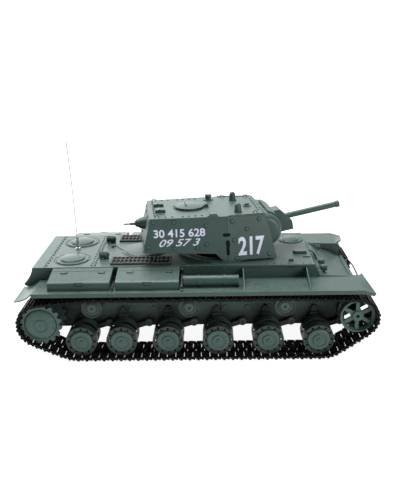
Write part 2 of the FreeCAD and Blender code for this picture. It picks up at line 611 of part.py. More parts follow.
def road_wheel(side, index, x):
    """Two dished discs on one hub, with twelve rim holes through both and a domed outer cap."""
    name = f"road_wheel_{'l' if side > 0 else 'r'}{index}"
    body = new_body(name)
    half = new_sketch(body, f"{name}_half", "XY_Plane")
    outline(half, [
        ("axle_radius+running_gap", -14.5), (6, -14.5), (6, -13.2), ("wheel_radius-1.2", -13.2),
        ("wheel_radius-1.2", -14), ("wheel_radius", -14), ("wheel_radius", "-channel_half"),
        ("wheel_radius-1.2", "-channel_half"), ("wheel_radius-1.2", -11.4), (6, -11.4), (6, 11.4),
        ("wheel_radius-1.2", 11.4), ("wheel_radius-1.2", "channel_half"), ("wheel_radius", "channel_half"),
        ("wheel_radius", 14), ("wheel_radius-1.2", 14), ("wheel_radius-1.2", 13.2), ("cap_radius", 13.2),
        ("cap_radius", 14.6), ("cap_radius-1", 15.2), (9.2, 15.2), (9, 14.6), (6.8, 14.6), (6.2, 15.8),
        (0, 16), (0, 11.2), ("axle_radius+running_gap", 11.2),
    ])
    turn_around(body, "Revolution", half)
    hole = new_sketch(body, f"{name}_hole", "XZ_Plane")
    circle(hole, "rim_hole_ring", 0, "rim_hole_radius")
    drilled = grow(body, "Pocket", hole, 40, both=True)
    ring_of(body, [drilled], 12)
    keep(name, place_on_side(body, side, x, "wheel_z"))


def suspension_arm(side, index, x):
    """A trailing arm: its pivot shaft runs in the hull's boss and its axle carries the wheel."""
    name = f"suspension_arm_{'l' if side > 0 else 'r'}{index}"
    pivot_x, pivot_z = f"{x}+arm_reach", "wheel_z+arm_drop"
    low, length = across(side, "hull_half-wall-6", "arm_outer")
    shaft = rod(f"{name}_shaft", "axle_radius", length, pivot_x, low, pivot_z, "y")
    low, length = across(side, "arm_inner", "arm_outer")
    hub = rod(f"{name}_hub", 5, length, pivot_x, low, pivot_z, "y")
    eye = rod(f"{name}_eye", 4.5, length, x, low, "wheel_z", "y")
    web = box(f"{name}_web", ("sqrt(arm_reach^2+arm_drop^2)", length, 6))
    angle = math.degrees(math.atan2(number("arm_drop"), number("arm_reach")))
    lean = math.radians(angle)
    move(web, f"{x}+3*{math.sin(lean):.5f}", low, f"wheel_z-3*{math.cos(lean):.5f}",
         FreeCAD.Rotation(FreeCAD.Vector(0, 1, 0), -angle))
    low, length = across(side, "arm_outer-1", "arm_outer+0.8")
    nut = doc.addObject("Part::Prism", f"{name}_nut")
    nut.Polygon = 6
    bind(nut, Circumradius=3, Height=length)
    move(nut, pivot_x, low, pivot_z, TURNS["y"])
    low, length = across(side, "arm_outer-1", "track_y+10.9")
    axle = rod(f"{name}_axle", "axle_radius", length, x, low, "wheel_z", "y")
    keep(name, fused(f"{name}_whole", [shaft, hub, eye, web, nut, axle]))


def return_roller(side, index, x):
    name = f"return_roller_{'l' if side > 0 else 'r'}{index}"
    body = new_body(name)
    half = new_sketch(body, f"{name}_half", "XY_Plane")
    outline(half, [
        ("axle_radius+running_gap", -8), ("roller_radius", -8), ("roller_radius", "-channel_half"),
        (5, "-channel_half"), (5, "channel_half"), ("roller_radius", "channel_half"), ("roller_radius", 8),
        ("roller_radius-1.2", 8), ("roller_radius-1.5", 6.6), (7.6, 6.6), (7.3, 8), (4.6, 8.6),
        (2, 8.6), (2, 7.6), (0, 7.6), (0, 7), ("axle_radius+running_gap", 7),
    ])
    turn_around(body, "Revolution", half)
    keep(name, place_on_side(body, side, x, "roller_z"))


def idler(side):
    """The front idler: two rims joined to the hub by six tapered spokes."""
    name = f"idler_{'left' if side > 0 else 'right'}"
    body = new_body(name)
    half = new_sketch(body, f"{name}_half", "XY_Plane")
    outline(half, [
        ("shaft_radius+running_gap", -13), (8, -13), (8, -10.5), ("idler_radius-2.2", -10.5),
        ("idler_radius-2.2", -13), ("idler_radius", -13), ("idler_radius", "-channel_half"),
        ("idler_radius-2.2", "-channel_half"), ("idler_radius-2.2", -7.5), (7, -7.5), (7, 7.5),
        ("idler_radius-2.2", 7.5), ("idler_radius-2.2", "channel_half"), ("idler_radius", "channel_half"),
        ("idler_radius", 13), ("idler_radius-2.2", 13), ("idler_radius-2.2", 10.5), (6.5, 10.5),
        (5.6, 12.4), (2, 12.8), (2, 11.4), (0, 11.4), (0, 10), ("shaft_radius+running_gap", 10),
    ])
    turn_around(body, "Revolution", half)
    window = new_sketch(body, f"{name}_window", "XZ_Plane")
    outline(window, [
        ("7.4*cos(14)", "7.4*sin(14)"), ("7.4*cos(14)", "-7.4*sin(14)"),
        ("(idler_radius-2.8)*cos(23)", "-(idler_radius-2.8)*sin(23)", "idler_radius-2.8"),
        ("(idler_radius-2.8)*cos(23)", "(idler_radius-2.8)*sin(23)"),
    ])
    opened = grow(body, "Pocket", window, 40, both=True)
    ring_of(body, [opened], 6)
    keep(name, place_on_side(body, side, IDLER_X, "idler_z"))


def drive_sprocket(side):
    """Two toothed rings on a drum, a domed outer cap and the shaft into the gearbox."""
    name = f"drive_sprocket_{'left' if side > 0 else 'right'}"
    body = new_body(name)
    half = new_sketch(body, f"{name}_half", "XY_Plane")
    ring_in, ring_out = "lane_y-1.5", "lane_y+1.5"
    outline(half, [
        (0, "50.5-track_y"), ("shaft_radius", "50.5-track_y"), ("shaft_radius", f"-({ring_out})"),
        ("tooth_root", f"-({ring_out})"), ("tooth_root", f"-({ring_in})"), (17, f"-({ring_in})"),
        (17, ring_in), ("tooth_root", ring_in), ("tooth_root", ring_out), (18, ring_out),
        (17.4, f"{ring_out}+1.2", 30), (9, f"{ring_out}+2.4"), (8.6, f"{ring_out}+1.8"),
        (6.6, f"{ring_out}+1.8"), (6.2, f"{ring_out}+2.8"), (0, f"{ring_out}+3"),
    ])
    turn_around(body, "Revolution", half)
    teeth = []
    for k, offset in enumerate(("lane_y", "-lane_y")):
        tooth = new_sketch(body, f"{name}_tooth_{k}", "XZ_Plane", offset)
        outline(tooth, [
            ("tooth_root-1", -2.9), ("tooth_root+1.4", -2.7), ("tooth_tip-0.1", -1.1),
            ("tooth_tip-0.1", 1.1), ("tooth_root+1.4", 2.7), ("tooth_root-1", 2.9),
        ])
        teeth.append(grow(body, "Pad", tooth, 3, both=True))
    ring_of(body, teeth, "sprocket_teeth")
    place_on_side(body, side, "-sprocket_x", "sprocket_z")
    # the rearmost pin of the track sits in a gap, so the teeth stand half a tooth to each side of it
    half_tooth = 180 / number("sprocket_teeth")
    spin = FreeCAD.Rotation(FreeCAD.Vector(0, 1, 0), half_tooth)
    body.Placement = FreeCAD.Placement(body.Placement.Base, body.Placement.Rotation.multiply(spin))
    keep(name, body)


# ---- track ----


def track_link():
    """One link, pins along Y at half a pitch fore and aft, its outer side up: a centre plate and two side
    plates tied by one grouser bar, so that the two rows of sprocket teeth pass between them."""
    centre_half, side_in, side_out = "lane_y-lane_half", "lane_y+lane_half", "track_width/2"
    plate, rib = ("-2.9", "2.9"), ("-1.3", "1.3")
    items = [
        span_box("centre_plate", plate, (f"-({centre_half})", centre_half), ("-link_inner", "link_outer")),
        span_box("grouser", rib, (f"-({side_out})", side_out), ("link_outer+0.4", "grouser_height")),
        span_box("centre_rib", rib, (f"-({centre_half})", centre_half), (0, "grouser_height")),
    ]
    for side in (1, -1):
        low, length = across(side, side_in, side_out)
        tag = "l" if side > 0 else "r"
        size = ("5.8", length, "link_inner+link_outer")
        items.append(box(f"link_side_plate_{tag}", size, "-2.9", low, "-link_inner"))
        items.append(box(f"side_rib_{tag}", ("2.6", length, "grouser_height"), "-1.3", low, 0))
    fingers = [
        (1, f"-({centre_half})", "-4.2"), (1, "4.2", centre_half), (-1, "-3.8", "3.8"),
        (1, side_in, f"{side_in}+2.6"), (-1, f"{side_in}+3", side_out),
        (1, f"-({side_in})-2.6", f"-({side_in})"), (-1, f"-({side_out})", f"-({side_in})-3"),
    ]
    for i, (end, low, high) in enumerate(fingers):
        pin_x, length = f"{end}*track_pitch/2", f"({high})-({low})"
        items.append(rod(f"knuckle_{i}", "knuckle_radius", length, pin_x, low, 0, "y"))
        xs = ("1.3", "track_pitch/2") if end > 0 else ("-track_pitch/2", "-1.3")
        items.append(span_box(f"finger_{i}", xs, (low, high), ("-knuckle_radius", "knuckle_radius-0.6")))
    horn = doc.addObject("Part::Wedge", "guide_horn")
    bind(horn, Xmin=-2.6, Xmax=2.6, Zmin="-horn_half", Zmax="horn_half", Ymin=0,
         Ymax="horn_height-link_inner+0.5", X2min=-1.2, X2max=1.2, Z2min="0.4-horn_half", Z2max="horn_half-0.4")
    move(horn, 0, 0, "0.5-link_inner", FreeCAD.Rotation(FreeCAD.Vector(1, 0, 0), -90))
    pin = rod("link_pin", "pin_radius", "track_width", "track_pitch/2", "-track_width/2", 0, "y")
    eye = rod("link_eye", "pin_bore", "track_width+2", "-track_pitch/2", "-track_width/2-1", 0, "y")
    return cut("track_link", fused("link_solid", items + [horn, pin]), [eye])


def tangent(a, ra, b, rb):
    """The outside tangent of two circles run clockwise seen from the right side (+X to the right)."""
    span = b - a
    base = math.atan2(span.y, span.x)
    lean = math.asin((ra - rb) / span.Length)
    normal = FreeCAD.Vector(math.cos(base + math.pi / 2 - lean), math.sin(base + math.pi / 2 - lean), 0)
    return a + normal * ra, b + normal * rb


def track_route(idler_x):
    """The closed line that the pins follow, as straight and round pieces, clockwise from the sprocket."""
    pitch, low = number("track_pitch"), number("pin_line_z")
    teeth_radius = pitch / (2 * math.sin(math.pi / number("sprocket_teeth")))
    bend, overrun = 28, 6
    roller_line = number("roller_radius") + 2.4
    rounds = [(-number("sprocket_x"), number("sprocket_z"), teeth_radius)]
    rounds += [(x, number("roller_z"), roller_line) for x in reversed(ROLLER_X)]
    rounds += [(idler_x, number("idler_z"), number("idler_radius") + 2.8)]
    rounds += [(x, low + bend, bend) for x in (WHEEL_X[0] + overrun, WHEEL_X[-1] - overrun)]
    circles = [(FreeCAD.Vector(x, z, 0), radius) for x, z, radius in rounds]
    lines = [tangent(*circles[i], *circles[(i + 1) % len(circles)]) for i in range(len(circles))]
    pieces = []
    for i, (centre, radius) in enumerate(circles):
        start, end = lines[i - 1][1], lines[i][0]
        begin = math.atan2(start.y - centre.y, start.x - centre.x)
        sweep = (begin - math.atan2(end.y - centre.y, end.x - centre.x)) % (2 * math.pi)
        pieces.append(("arc", centre, radius, begin, sweep * radius))
        pieces.append(("line", lines[i][0], lines[i][1], None, (lines[i][1] - lines[i][0]).Length))
    return pieces


def route_point(pieces, distance):
    distance %= sum(piece[4] for piece in pieces)
    for kind, first, second, begin, length in pieces:
        if distance <= length:
            break
        distance -= length
    if kind == "line":
        return first + (second - first) * (distance / length)
    angle = begin - distance / second
    return first + FreeCAD.Vector(math.cos(angle), math.sin(angle), 0) * second


def march(pieces, count):
    """Pins one pitch apart along the route, from the sprocket's rearmost point, and how far they overrun."""
    pitch = number("track_pitch")
    total = sum(piece[4] for piece in pieces)
    kind, centre, radius, begin, length = pieces[0]
    distance = ((begin - math.pi) % (2 * math.pi)) * radius
    start, pins = distance, []
    for _ in range(count):
        here = route_point(pieces, distance)
        pins.append(here)
        low, high = distance + 0.9 * pitch, distance + 1.2 * pitch
        for _ in range(40):
            middle = (low + high) / 2
            if (route_point(pieces, middle) - here).Length < pitch:
                low = middle
            else:
                high = middle
        distance = low
    return pins, distance - start - total


def close_track(count):
    """Slide the idler until a whole number of links closes the loop."""
    near, far = 178.0, 192.0
    for _ in range(40):
        middle = (near + far) / 2
        if march(track_route(middle), count)[1] > 0:
            near = middle
        else:
            far = middle
    return near, march(track_route(near), count)[0]


def track(side, link, pins):
    name = f"track_{'left' if side > 0 else 'right'}"
    links = []
    for here, after in zip(pins, pins[1:] + pins[:1]):
        middle, along = (here + after) / 2, after - here
        angle = math.degrees(math.atan2(along.y, along.x))
        piece = link.Shape.copy()
        piece.Placement = FreeCAD.Placement(
            FreeCAD.Vector(middle.x, side * number("track_y"), middle.y),
            FreeCAD.Rotation(FreeCAD.Vector(0, 1, 0), -angle),
        )
        links.append(piece)
    item = doc.addObject("Part::Feature", name)
    item.Shape = Part.makeCompound(links)
    keep(name, item)


# ---- inside the hull ----


def drive_units():
    """A gearbox and motor for each sprocket, and the motor that turns the turret."""
    items = []
    for side in (1, -1):
        tag = "l" if side > 0 else "r"
        low, length = across(side, 14, 54)
        case = box(f"gearbox_{tag}", (40, length, 40), -190, low, 40)
        foot = box(f"gearbox_foot_{tag}", (20, length, 14), -170, low, "belly_z+wall")
        low, length = across(side, 49.5, 55)
        radius = "shaft_radius+running_gap"
        socket = rod(f"gearbox_socket_{tag}", radius, length, "-sprocket_x", low, "sprocket_z", "y")
        motor = rod(f"motor_{tag}", 12.5, 38, -150.5, f"{side}*28", 60, "x")
        tail = rod(f"motor_tail_{tag}", 4, 3, -112.5, f"{side}*28", 60, "x")
        items.append(cut(f"drive_{tag}", fused(f"drive_solid_{tag}", [case, foot, motor, tail]), [socket]))
    turret_case = box("turret_gearbox", (24, 30, 20), 84, -15, 68)
    turret_motor = rod("turret_motor", 9, "42-wall", 96, 0, "belly_z+wall")
    items.append(fused("turret_drive", [turret_case, turret_motor]))
    keep("drive_units", group("drive_group", items))


def battery():
    case = box("battery_case", (92, 38, 21), -56, -19, "belly_z+wall+1.2")
    cap_end = box("battery_plug", (6, 10, 8), 36, -5, "belly_z+wall+6")
    keep("battery", fused("battery_whole", [case, cap_end]))


def control_board():
    board = box("board", (84, 72, 1.6), -94, -36, 58)
    places = (
        (-70, -6, (14, 14, 2.4)), (-86, 12, (10, 18, 6)), (-40, 12, (12, 10, 3)),
        (-34, -28, (18, 12, 9)), (-88, -30, (12, 10, 8)),
    )
    chips = [box(f"board_chip_{i}", size, x, y, 59.5) for i, (x, y, size) in enumerate(places)]
    keep("control_board", fused("board_whole", [board] + chips))


def battery_hatch():
    """The belly's battery lid, flush with the belly plate, with two finger ridges."""
    lid = box("lid_plate", (99.4, 43.4, "wall-0.2"), -59.7, -21.7, "belly_z")
    lip = box("lid_lip", (94, 46, 1.2), -57, -23, "belly_z+wall")
    neck = box("lid_neck", (94, 42, "wall"), -57, -21, "belly_z+0.5")
    keep("battery_hatch", fused("lid_whole", [lid, lip, neck]))


def power_switch():
    """A slide switch in the belly: its knob reaches out through a slot, on a slider behind the plate."""
    knob = box("switch_knob", (4, 3.4, "wall+1.5"), 87, 28.8, "belly_z+0.4")
    slider = box("switch_slider", (9, 8, 1.5), 84.5, 26.5, "belly_z+wall+0.3")
    keep("power_switch", fused("switch_whole", [knob, slider]))


def hull_screws():
    screws = []
    for i, (x, y) in enumerate(SCREW_PLACES, 1):
        head = cone(f"screw_head_{i}", 2.4, 3, 2, x, y, 73.9)
        shank = rod(f"screw_shank_{i}", 1.5, 16, x, y, 75)
        recess = rod(f"screw_recess_{i}", 1.1, 1.2, x, y, 73.5)
        screws.append(cut(f"screw_{i}", fused(f"screw_solid_{i}", [head, shank]), [recess]))
    keep("hull_screws", group("screw_group", screws))


# ---- turret ----


def to_turret(item):
    """Turn a part drawn in the turret's own frame to where it rests on the hull."""
    item.Placement = FreeCAD.Placement(ORIGIN, FreeCAD.Rotation(FreeCAD.Vector(0, 0, 1), 1))
    item.setExpression("Placement.Base.x", bound("turret_x"))
    item.setExpression("Placement.Rotation.Angle", bound("turret_yaw"))
    return item


def plan_corners(rear, front, rear_half, mid_half, front_half, inset="0"):
    """The turret's six-cornered plan: widest in the middle, square to the rear."""
    half = [(f"-({rear})+({inset})", f"{rear_half}-({inset})"), ("1.5", f"{mid_half}-({inset})"),
            (f"({front})-({inset})", f"{front_half}-({inset})")]
    return [(u, f"-({v})") for u, v in half] + [(u, v) for u, v in reversed(half)]


PLAN_NAMES = ("rear", "front", "rear_half", "mid_half", "front_half")


def level(z, what):
    """A plan dimension at a height between the turret's foot and its roof."""
    return f"foot_{what}+(roof_{what}-foot_{what})*({z}-turret_low_z)/(roof_under_z-turret_low_z)"


def turret_shell():
    body = new_body("shell")
    foot = new_sketch(body, "shell_foot", "XY_Plane", "turret_low_z")
    outline(foot, plan_corners(*(f"foot_{n}" for n in PLAN_NAMES)))
    head = new_sketch(body, "shell_head", "XY_Plane", "roof_under_z")
    outline(head, plan_corners(*(f"roof_{n}" for n in PLAN_NAMES)))
    loft = body.newObject("PartDesign::AdditiveLoft", "shell_loft")
    loft.Profile, loft.Sections, loft.Ruled = foot, [head], True
    under = new_sketch(body, "bustle_under", "XZ_Plane")
    outline(under, [
        (-120, 95), (-2.1, "turret_low_z-9"), (-2.1, "turret_low_z"), (-11.5, "bustle_front_z"),
        (-67.4, 116.6), ("-foot_rear+3.5", "bustle_rear_z"), (-120, "bustle_rear_z"),
    ])
    grow(body, "Pocket", under, 140, both=True)
    inner_foot = new_sketch(body, "cavity_foot", "XY_Plane", "floor_z")
    outline(inner_foot, plan_corners(*(level("floor_z", n) for n in PLAN_NAMES), inset="2.6"))
    inner_head = new_sketch(body, "cavity_head", "XY_Plane", "roof_under_z")
    outline(inner_head, plan_corners(*(f"roof_{n}" for n in PLAN_NAMES), inset="2.6"))
    cavity = body.newObject("PartDesign::SubtractiveLoft", "shell_cavity")
    cavity.Profile, cavity.Sections, cavity.Ruled = inner_foot, [inner_head], True
    well = new_sketch(body, "ring_well", "XY_Plane", "floor_z+1")
    circle(well, 0, 0, 39.5)
    grow(body, "Pocket", well, 30)

    bulge = new_body("bulge")
    half = new_sketch(bulge, "bulge_half", "XY_Plane")
    outline(half, [
        (0, "-cheek_half"), ("cheek_radius-cheek_round", "-cheek_half", "cheek_round"),
        ("cheek_radius", "cheek_round-cheek_half"),
        ("cheek_radius", "cheek_half-cheek_round", "cheek_round"),
        ("cheek_radius-cheek_round", "cheek_half"), (0, "cheek_half"),
    ])
    turn_around(bulge, "Revolution", half)
    move(bulge, "trunnion_u", 0, "trunnion_z")
    slot = span_box("gun_slot", (20, 90), ("-slot_half", "slot_half"), (112.4, "roof_under_z+1"))
    bore = rod("trunnion_bore", "axle_radius+running_gap", 46, "trunnion_u", -23, "trunnion_z", "y")
    ports = []
    for side in (1, -1):
        low, length = across(side, 49.2, 60)
        ports.append(box(f"slit_port_{side > 0:d}", (8, length, 3.2), -2, low, 133.4))
        low, length = across(side, 50.2, 60)
        ports.append(box(f"upright_port_{side > 0:d}", (3.8, length, 18), 1.4, low, 110.4))
    whole = cut("shell_cut", fused("shell_whole", [body, bulge]), [slot, bore] + ports)
    keep("turret_shell", to_turret(group("shell_group", [whole])))


def turret_roof():
    """The roof plate with its hatch coaming and the hinge ears that hold the hatch's pin."""
    body = new_body("roof")
    plan = new_sketch(body, "roof_plan", "XY_Plane", "roof_under_z")
    outline(plan, plan_corners(*(f"roof_{n}" for n in PLAN_NAMES)))
    grow(body, "Pad", plan, "roof_z-roof_under_z")
    x, y = "-hatch_u", "hatch_v"
    coaming = rod("coaming", 16.6, "roof_z-roof_under_z+0.5", x, y, "roof_under_z")
    ears = []
    for i, v in enumerate((-5.2, 3.4)):
        foot = box(f"hinge_foot_{i}", (5, 1.8, 2.5), HINGE_U - 2.5, f"hatch_v+{v}", "roof_z-0.4")
        eye = rod(f"hinge_eye_{i}", 1.9, 1.8, HINGE_U, f"hatch_v+{v}", HINGE_Z, "y")
        ears += [foot, eye]
    pin = rod("hinge_pin", 0.9, 10.4, HINGE_U, "hatch_v-5.2", HINGE_Z, "y")
    hole = rod("hatch_hole", 14.8, 6, x, y, "roof_under_z-2")
    plate = cut("roof_cut", fused("roof_whole", [body, coaming] + ears), [hole])
    keep("turret_roof", to_turret(group("roof_group", [fused("roof_and_pin", [plate, pin])])))


def turret_hatch():
    """The round hatch, its lid a little domed, with the knuckle that turns on the hinge pin."""
    x, y, seat = "-hatch_u", "hatch_v", "roof_z+0.8"
    lid = rod("hatch_plate", "hatch_radius", 1.6, x, y, seat)
    dome = cap("hatch_dome", "hatch_radius-0.6", 1.6, x, y, f"{seat}+1.6")
    plug = rod("hatch_plug", 14, 1.6, x, y, "roof_z-0.8")
    strap = box("hatch_strap", (7, 6, 1.6), HINGE_U - 7, "hatch_v-3", f"{seat}")
    knuckle = rod("hatch_knuckle", 1.8, 6, HINGE_U, "hatch_v-3", HINGE_Z, "y")
    bore = rod("hatch_bore", 0.95, 8, HINGE_U, "hatch_v-4", HINGE_Z, "y")
    whole = cut("hatch_cut", fused("hatch_whole", [lid, dome, plug, strap, knuckle]), [bore])
    keep("turret_hatch", to_turret(group("hatch_one", [whole])))


def turret_ring():
    """The turning ring: it rides inside the hull's collar and its lower flange keeps the turret on."""
    sleeve = rod("ring_sleeve", "ring_bore-ring_gap", 9.6, 0, 0, 94.4)
    flange = rod("ring_flange", 48, 3, 0, 0, "deck_z-wall-3.4")
    bore = rod("ring_inside", 39.5, 20, 0, 0, 90)
    whole = cut("ring_cut", fused("ring_whole", [sleeve, flange]), [bore])
    keep("turret_ring", to_turret(group("ring_group", [whole])))


def roof_fittings():
    """Sights, periscope hoods, the ventilator and the lifting loops on the turret's roof."""
    items = []
    for i, (u, v) in enumerate(((20.9, 24), (18.6, -30)), 1):
        foot = rod(f"sight_foot_{i}", 4.9, 1.2, u, v, "roof_z")
        stem = cone(f"sight_stem_{i}", 4.3, 3.7, 6.4, u, v, "roof_z+1")
        top = doc.addObject("Part::Sphere", f"sight_top_{i}")
        bind(top, Radius=3.7)
        move(top, u, v, "roof_z+7.4")
        items.append(fused(f"sight_{i}", [foot, stem, top]))
    plate = rod("vent_plate", 6.8, 0.8, -8.9, 33, "roof_z")
    stem = rod("vent_stem", 3.6, 4.4, -8.9, 33, "roof_z+0.6")
    top = cone("vent_top", 4.6, 3.8, 2, -8.9, 33, "roof_z+4.6")
    items.append(fused("ventilator", [plate, stem, top]))
    for i, (u, v) in enumerate(((-73.5, 13), (-72.8, -13.6)), 1):
        block = box(f"rear_hood_block_{i}", (12, 9, 3.6), u - 6, v - 4.5, "roof_z")
        bar = rod(f"rear_hood_top_{i}", 3.6, 9, u - 1, v - 4.5, "roof_z+0.6", "y")
        low = box(f"rear_hood_trim_{i}", (20, 12, 8), u - 10, v - 6, "roof_z-8")
        items.append(cut(f"rear_hood_{i}", fused(f"rear_hood_solid_{i}", [block, bar]), [low]))
    scope = box("side_scope", (8.6, 5.4, 3.6), -17.2, -46.4, "roof_z")
    flange = box("side_scope_foot", (13, 3.4, 0.8), -19.4, -44, "roof_z")
    items.append(fused("side_scope_whole", [scope, flange]))
    ring = rod("front_mount", 5.4, 0.9, 34, -5, "roof_z")
    knob = box("front_mount_bar", (6, 2, 2.6), 31, -6, "roof_z+0.5")
    items.append(fused("front_mount_whole", [ring, knob]))
    for i, (u, v) in enumerate(((10, 42.6), (40, 38), (-78, 38), (-78, -38), (38, -38)), 1):
        loop = doc.addObject("Part::Torus", f"lifting_loop_{i}")
        bind(loop, Radius1=2.4, Radius2=0.5)
        move(loop, u, v, "roof_z+0.3", FreeCAD.Rotation(FreeCAD.Vector(1, 0, 0), 90))
        below = box(f"loop_trim_{i}", (8, 4, 4), u - 4, v - 2, "roof_z-4")
        items.append(cut(f"loop_{i}", loop, [below]))
    keep("roof_fittings", to_turret(group("roof_group_two", items)))


def rear_machine_gun():
    """The turret's rear gun: an armoured cone, its ball and a short stepped barrel."""
    v, z = 3, 139.5
    seat = cone("rear_gun_cone", 6.2, 9.6, 13, -98.6, v, z, "x")
    ball = doc.addObject("Part::Sphere", "rear_gun_ball")
    bind(ball, Radius=5.2)
    move(ball, -99, v, z)
    jacket = rod("rear_gun_jacket", 1.6, 10, -109.5, v, z - 0.6, "x")
    barrel = rod("rear_gun_barrel", 0.9, 10, -117.5, v, z - 0.6, "x")
    whole = fused("rear_gun_whole", [seat, ball, jacket, barrel])
    wall = new_body("rear_gun_trim")
    side = new_sketch(wall, "rear_gun_trim_side", "XZ_Plane")
    outline(side, [
        ("-foot_rear", "turret_low_z"), (-60, "turret_low_z"), (-60, "roof_under_z"),
        ("-roof_rear", "roof_under_z"),
    ])
    grow(wall, "Pad", side, 40, both=True)
    keep("rear_machine_gun", to_turret(cut("rear_gun_trimmed", whole, [wall])))


def to_gun(item):
    """Raise a part drawn level about the trunnion, at the origin, then turn it with the turret."""
    yaw = FreeCAD.Rotation(FreeCAD.Vector(0, 0, 1), number("turret_yaw"))
    lift = FreeCAD.Rotation(FreeCAD.Vector(0, 1, 0), -number("gun_elevation"))
    item.Placement = FreeCAD.Placement(ORIGIN, yaw.multiply(lift))
    item.setExpression("Placement.Base.x", bound("turret_x+trunnion_u*cos(turret_yaw)"))
    item.setExpression("Placement.Base.y", bound("trunnion_u*sin(turret_yaw)"))
    item.setExpression("Placement.Base.z", bound("trunnion_z"))
    return item


def mantlet():
    """The gun's moving shield: a curved plate on a drum with two trunnions, and the recoil housing."""
    body = new_body("shield")
    cover = new_sketch(body, "shield_arc", "XZ_Plane")
    inner = "mantlet_radius-mantlet_thick"
    outline(cover, [
        ("mantlet_radius*cos(66)", "mantlet_radius*sin(66)"),
        (f"({inner})*cos(66)", f"({inner})*sin(66)", f"-({inner})"),
        (f"({inner})*cos(52)", f"-({inner})*sin(52)"),
        ("mantlet_radius*cos(52)", "-mantlet_radius*sin(52)", "mantlet_radius"),
    ])
    grow(body, "Pad", cover, "2*mantlet_half", both=True)
    drum = rod("shield_drum", "cheek_radius-0.4", "2*(slot_half-0.4)", 0, "0.4-slot_half", 0, "y")
    pins = rod("trunnions", "axle_radius", 44, 0, -22, 0, "y")
    housing = new_body("recoil_housing")
    side = new_sketch(housing, "housing_side", "XZ_Plane")
    outline(side, [(14, -15.8), (40, -15.8), (40, -4.9), (26.6, 12.9), (14, 12.9)])
    grow(housing, "Pad", side, "2*housing_half", both=True)
    socket = rod("barrel_socket", "barrel_radius", 40, "barrel_start", 0, 0, "x")
    whole = cut("mantlet_cut", fused("mantlet_whole", [body, drum, pins, housing]), [socket])
    keep("mantlet", to_gun(group("mantlet_group", [whole])))


def gun_barrel():
    tube = rod("barrel_tube", "barrel_radius", "barrel_tip-barrel_start", "barrel_start", 0, 0, "x")
    swell = rod("barrel_swell", "barrel_radius+0.6", 4.2, "barrel_tip-4.2", 0, 0, "x")
    bore = rod("barrel_bore", 2.4, 30, "barrel_tip-25", 0, 0, "x")
    whole = cut("barrel_cut", fused("barrel_whole", [tube, swell]), [bore])
    keep("gun_barrel", to_gun(group("barrel_group", [whole])))


# ---- assembly ----

IDLER_X, track_pins = close_track(LINK_COUNT)
print("idler x", round(IDLER_X, 3), "links", LINK_COUNT)

for make in (lower_hull, upper_hull, fenders, fender_stowage, deck_hatches, deck_grilles_and_exhausts,
             antenna, headlight, bow_fittings, tow_cable, drive_units, battery, control_board, battery_hatch,
             power_switch, hull_screws, turret_shell, turret_roof, turret_hatch, turret_ring, roof_fittings,
             rear_machine_gun, mantlet, gun_barrel):
    make()
for track_side in (1, -1):
    for place, wheel_x in enumerate(WHEEL_X, 1):
        road_wheel(track_side, place, wheel_x)
        suspension_arm(track_side, place, wheel_x)
    for place, roller_x in enumerate(ROLLER_X, 1):
        return_roller(track_side, place, roller_x)
    idler(track_side)
    drive_sprocket(track_side)
master_link = track_link()
doc.recompute()
for track_side in (1, -1):
    track(track_side, master_link, track_pins)
doc.removeObject(probe.Name)
doc.recompute()

faults = [item.Label for item in doc.Objects if {"Invalid", "Error"} & set(item.State)]
faults += [item.Label for item in sub_parts if item.Shape.isNull() or not item.Shape.isValid()]
if faults:
    raise SystemExit(f"not written, because these failed: {faults}")
os.makedirs("parts", exist_ok=True)
for item in sub_parts:
    item.Shape.exportStep(f"parts/{item.Label}.step")
print(len(sub_parts), "sub-parts written")
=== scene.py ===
import json
import math

import bmesh
import bpy
from mathutils import Matrix, Vector
from mathutils.bvhtree import BVHTree


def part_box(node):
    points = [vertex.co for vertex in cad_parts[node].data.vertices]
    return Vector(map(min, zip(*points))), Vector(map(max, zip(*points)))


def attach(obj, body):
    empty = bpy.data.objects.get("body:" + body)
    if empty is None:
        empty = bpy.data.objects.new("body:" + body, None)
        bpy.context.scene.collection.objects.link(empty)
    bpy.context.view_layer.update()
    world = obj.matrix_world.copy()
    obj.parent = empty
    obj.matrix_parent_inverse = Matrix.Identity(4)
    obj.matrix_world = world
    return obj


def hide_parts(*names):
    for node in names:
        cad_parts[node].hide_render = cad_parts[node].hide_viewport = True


# The looks of a radio controlled model tank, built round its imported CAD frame.
# +X is the tank's front, +Y its left side, +Z up, and every loop does the left side first.
# Vectors and all that the materials use are in metres. Millimetres are used in names that end in
# _MM, in what mm() takes, in places given as x, y, z or u, v, z numbers, and in what the mesh tools
# take. u and v are ahead and to the left in the turret's own frame.

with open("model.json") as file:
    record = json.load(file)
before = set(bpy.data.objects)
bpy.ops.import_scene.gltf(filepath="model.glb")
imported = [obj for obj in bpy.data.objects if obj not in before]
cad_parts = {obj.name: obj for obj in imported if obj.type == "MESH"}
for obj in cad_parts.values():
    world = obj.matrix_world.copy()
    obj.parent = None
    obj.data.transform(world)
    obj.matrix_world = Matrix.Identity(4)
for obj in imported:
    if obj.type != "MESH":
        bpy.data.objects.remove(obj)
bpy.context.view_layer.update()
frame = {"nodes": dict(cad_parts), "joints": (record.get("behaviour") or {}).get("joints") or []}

UP = Vector((0, 0, 1))
FORWARD = Vector((1, 0, 0))
LEFT = Vector((0, 1, 0))
SIDES = ((1, "left"), (-1, "right"))
SHELL = "upper_hull"


# ---- places, worked out from the frame ----


def mm(x, y, z):
    return Vector((x, y, z)) / 1000


def joint_place(name):
    return Vector(next(j for j in frame["joints"] if j["name"] == name)["pos_m"])


def joint_axis(name):
    return Vector(next(j for j in frame["joints"] if j["name"] == name)["axis"])


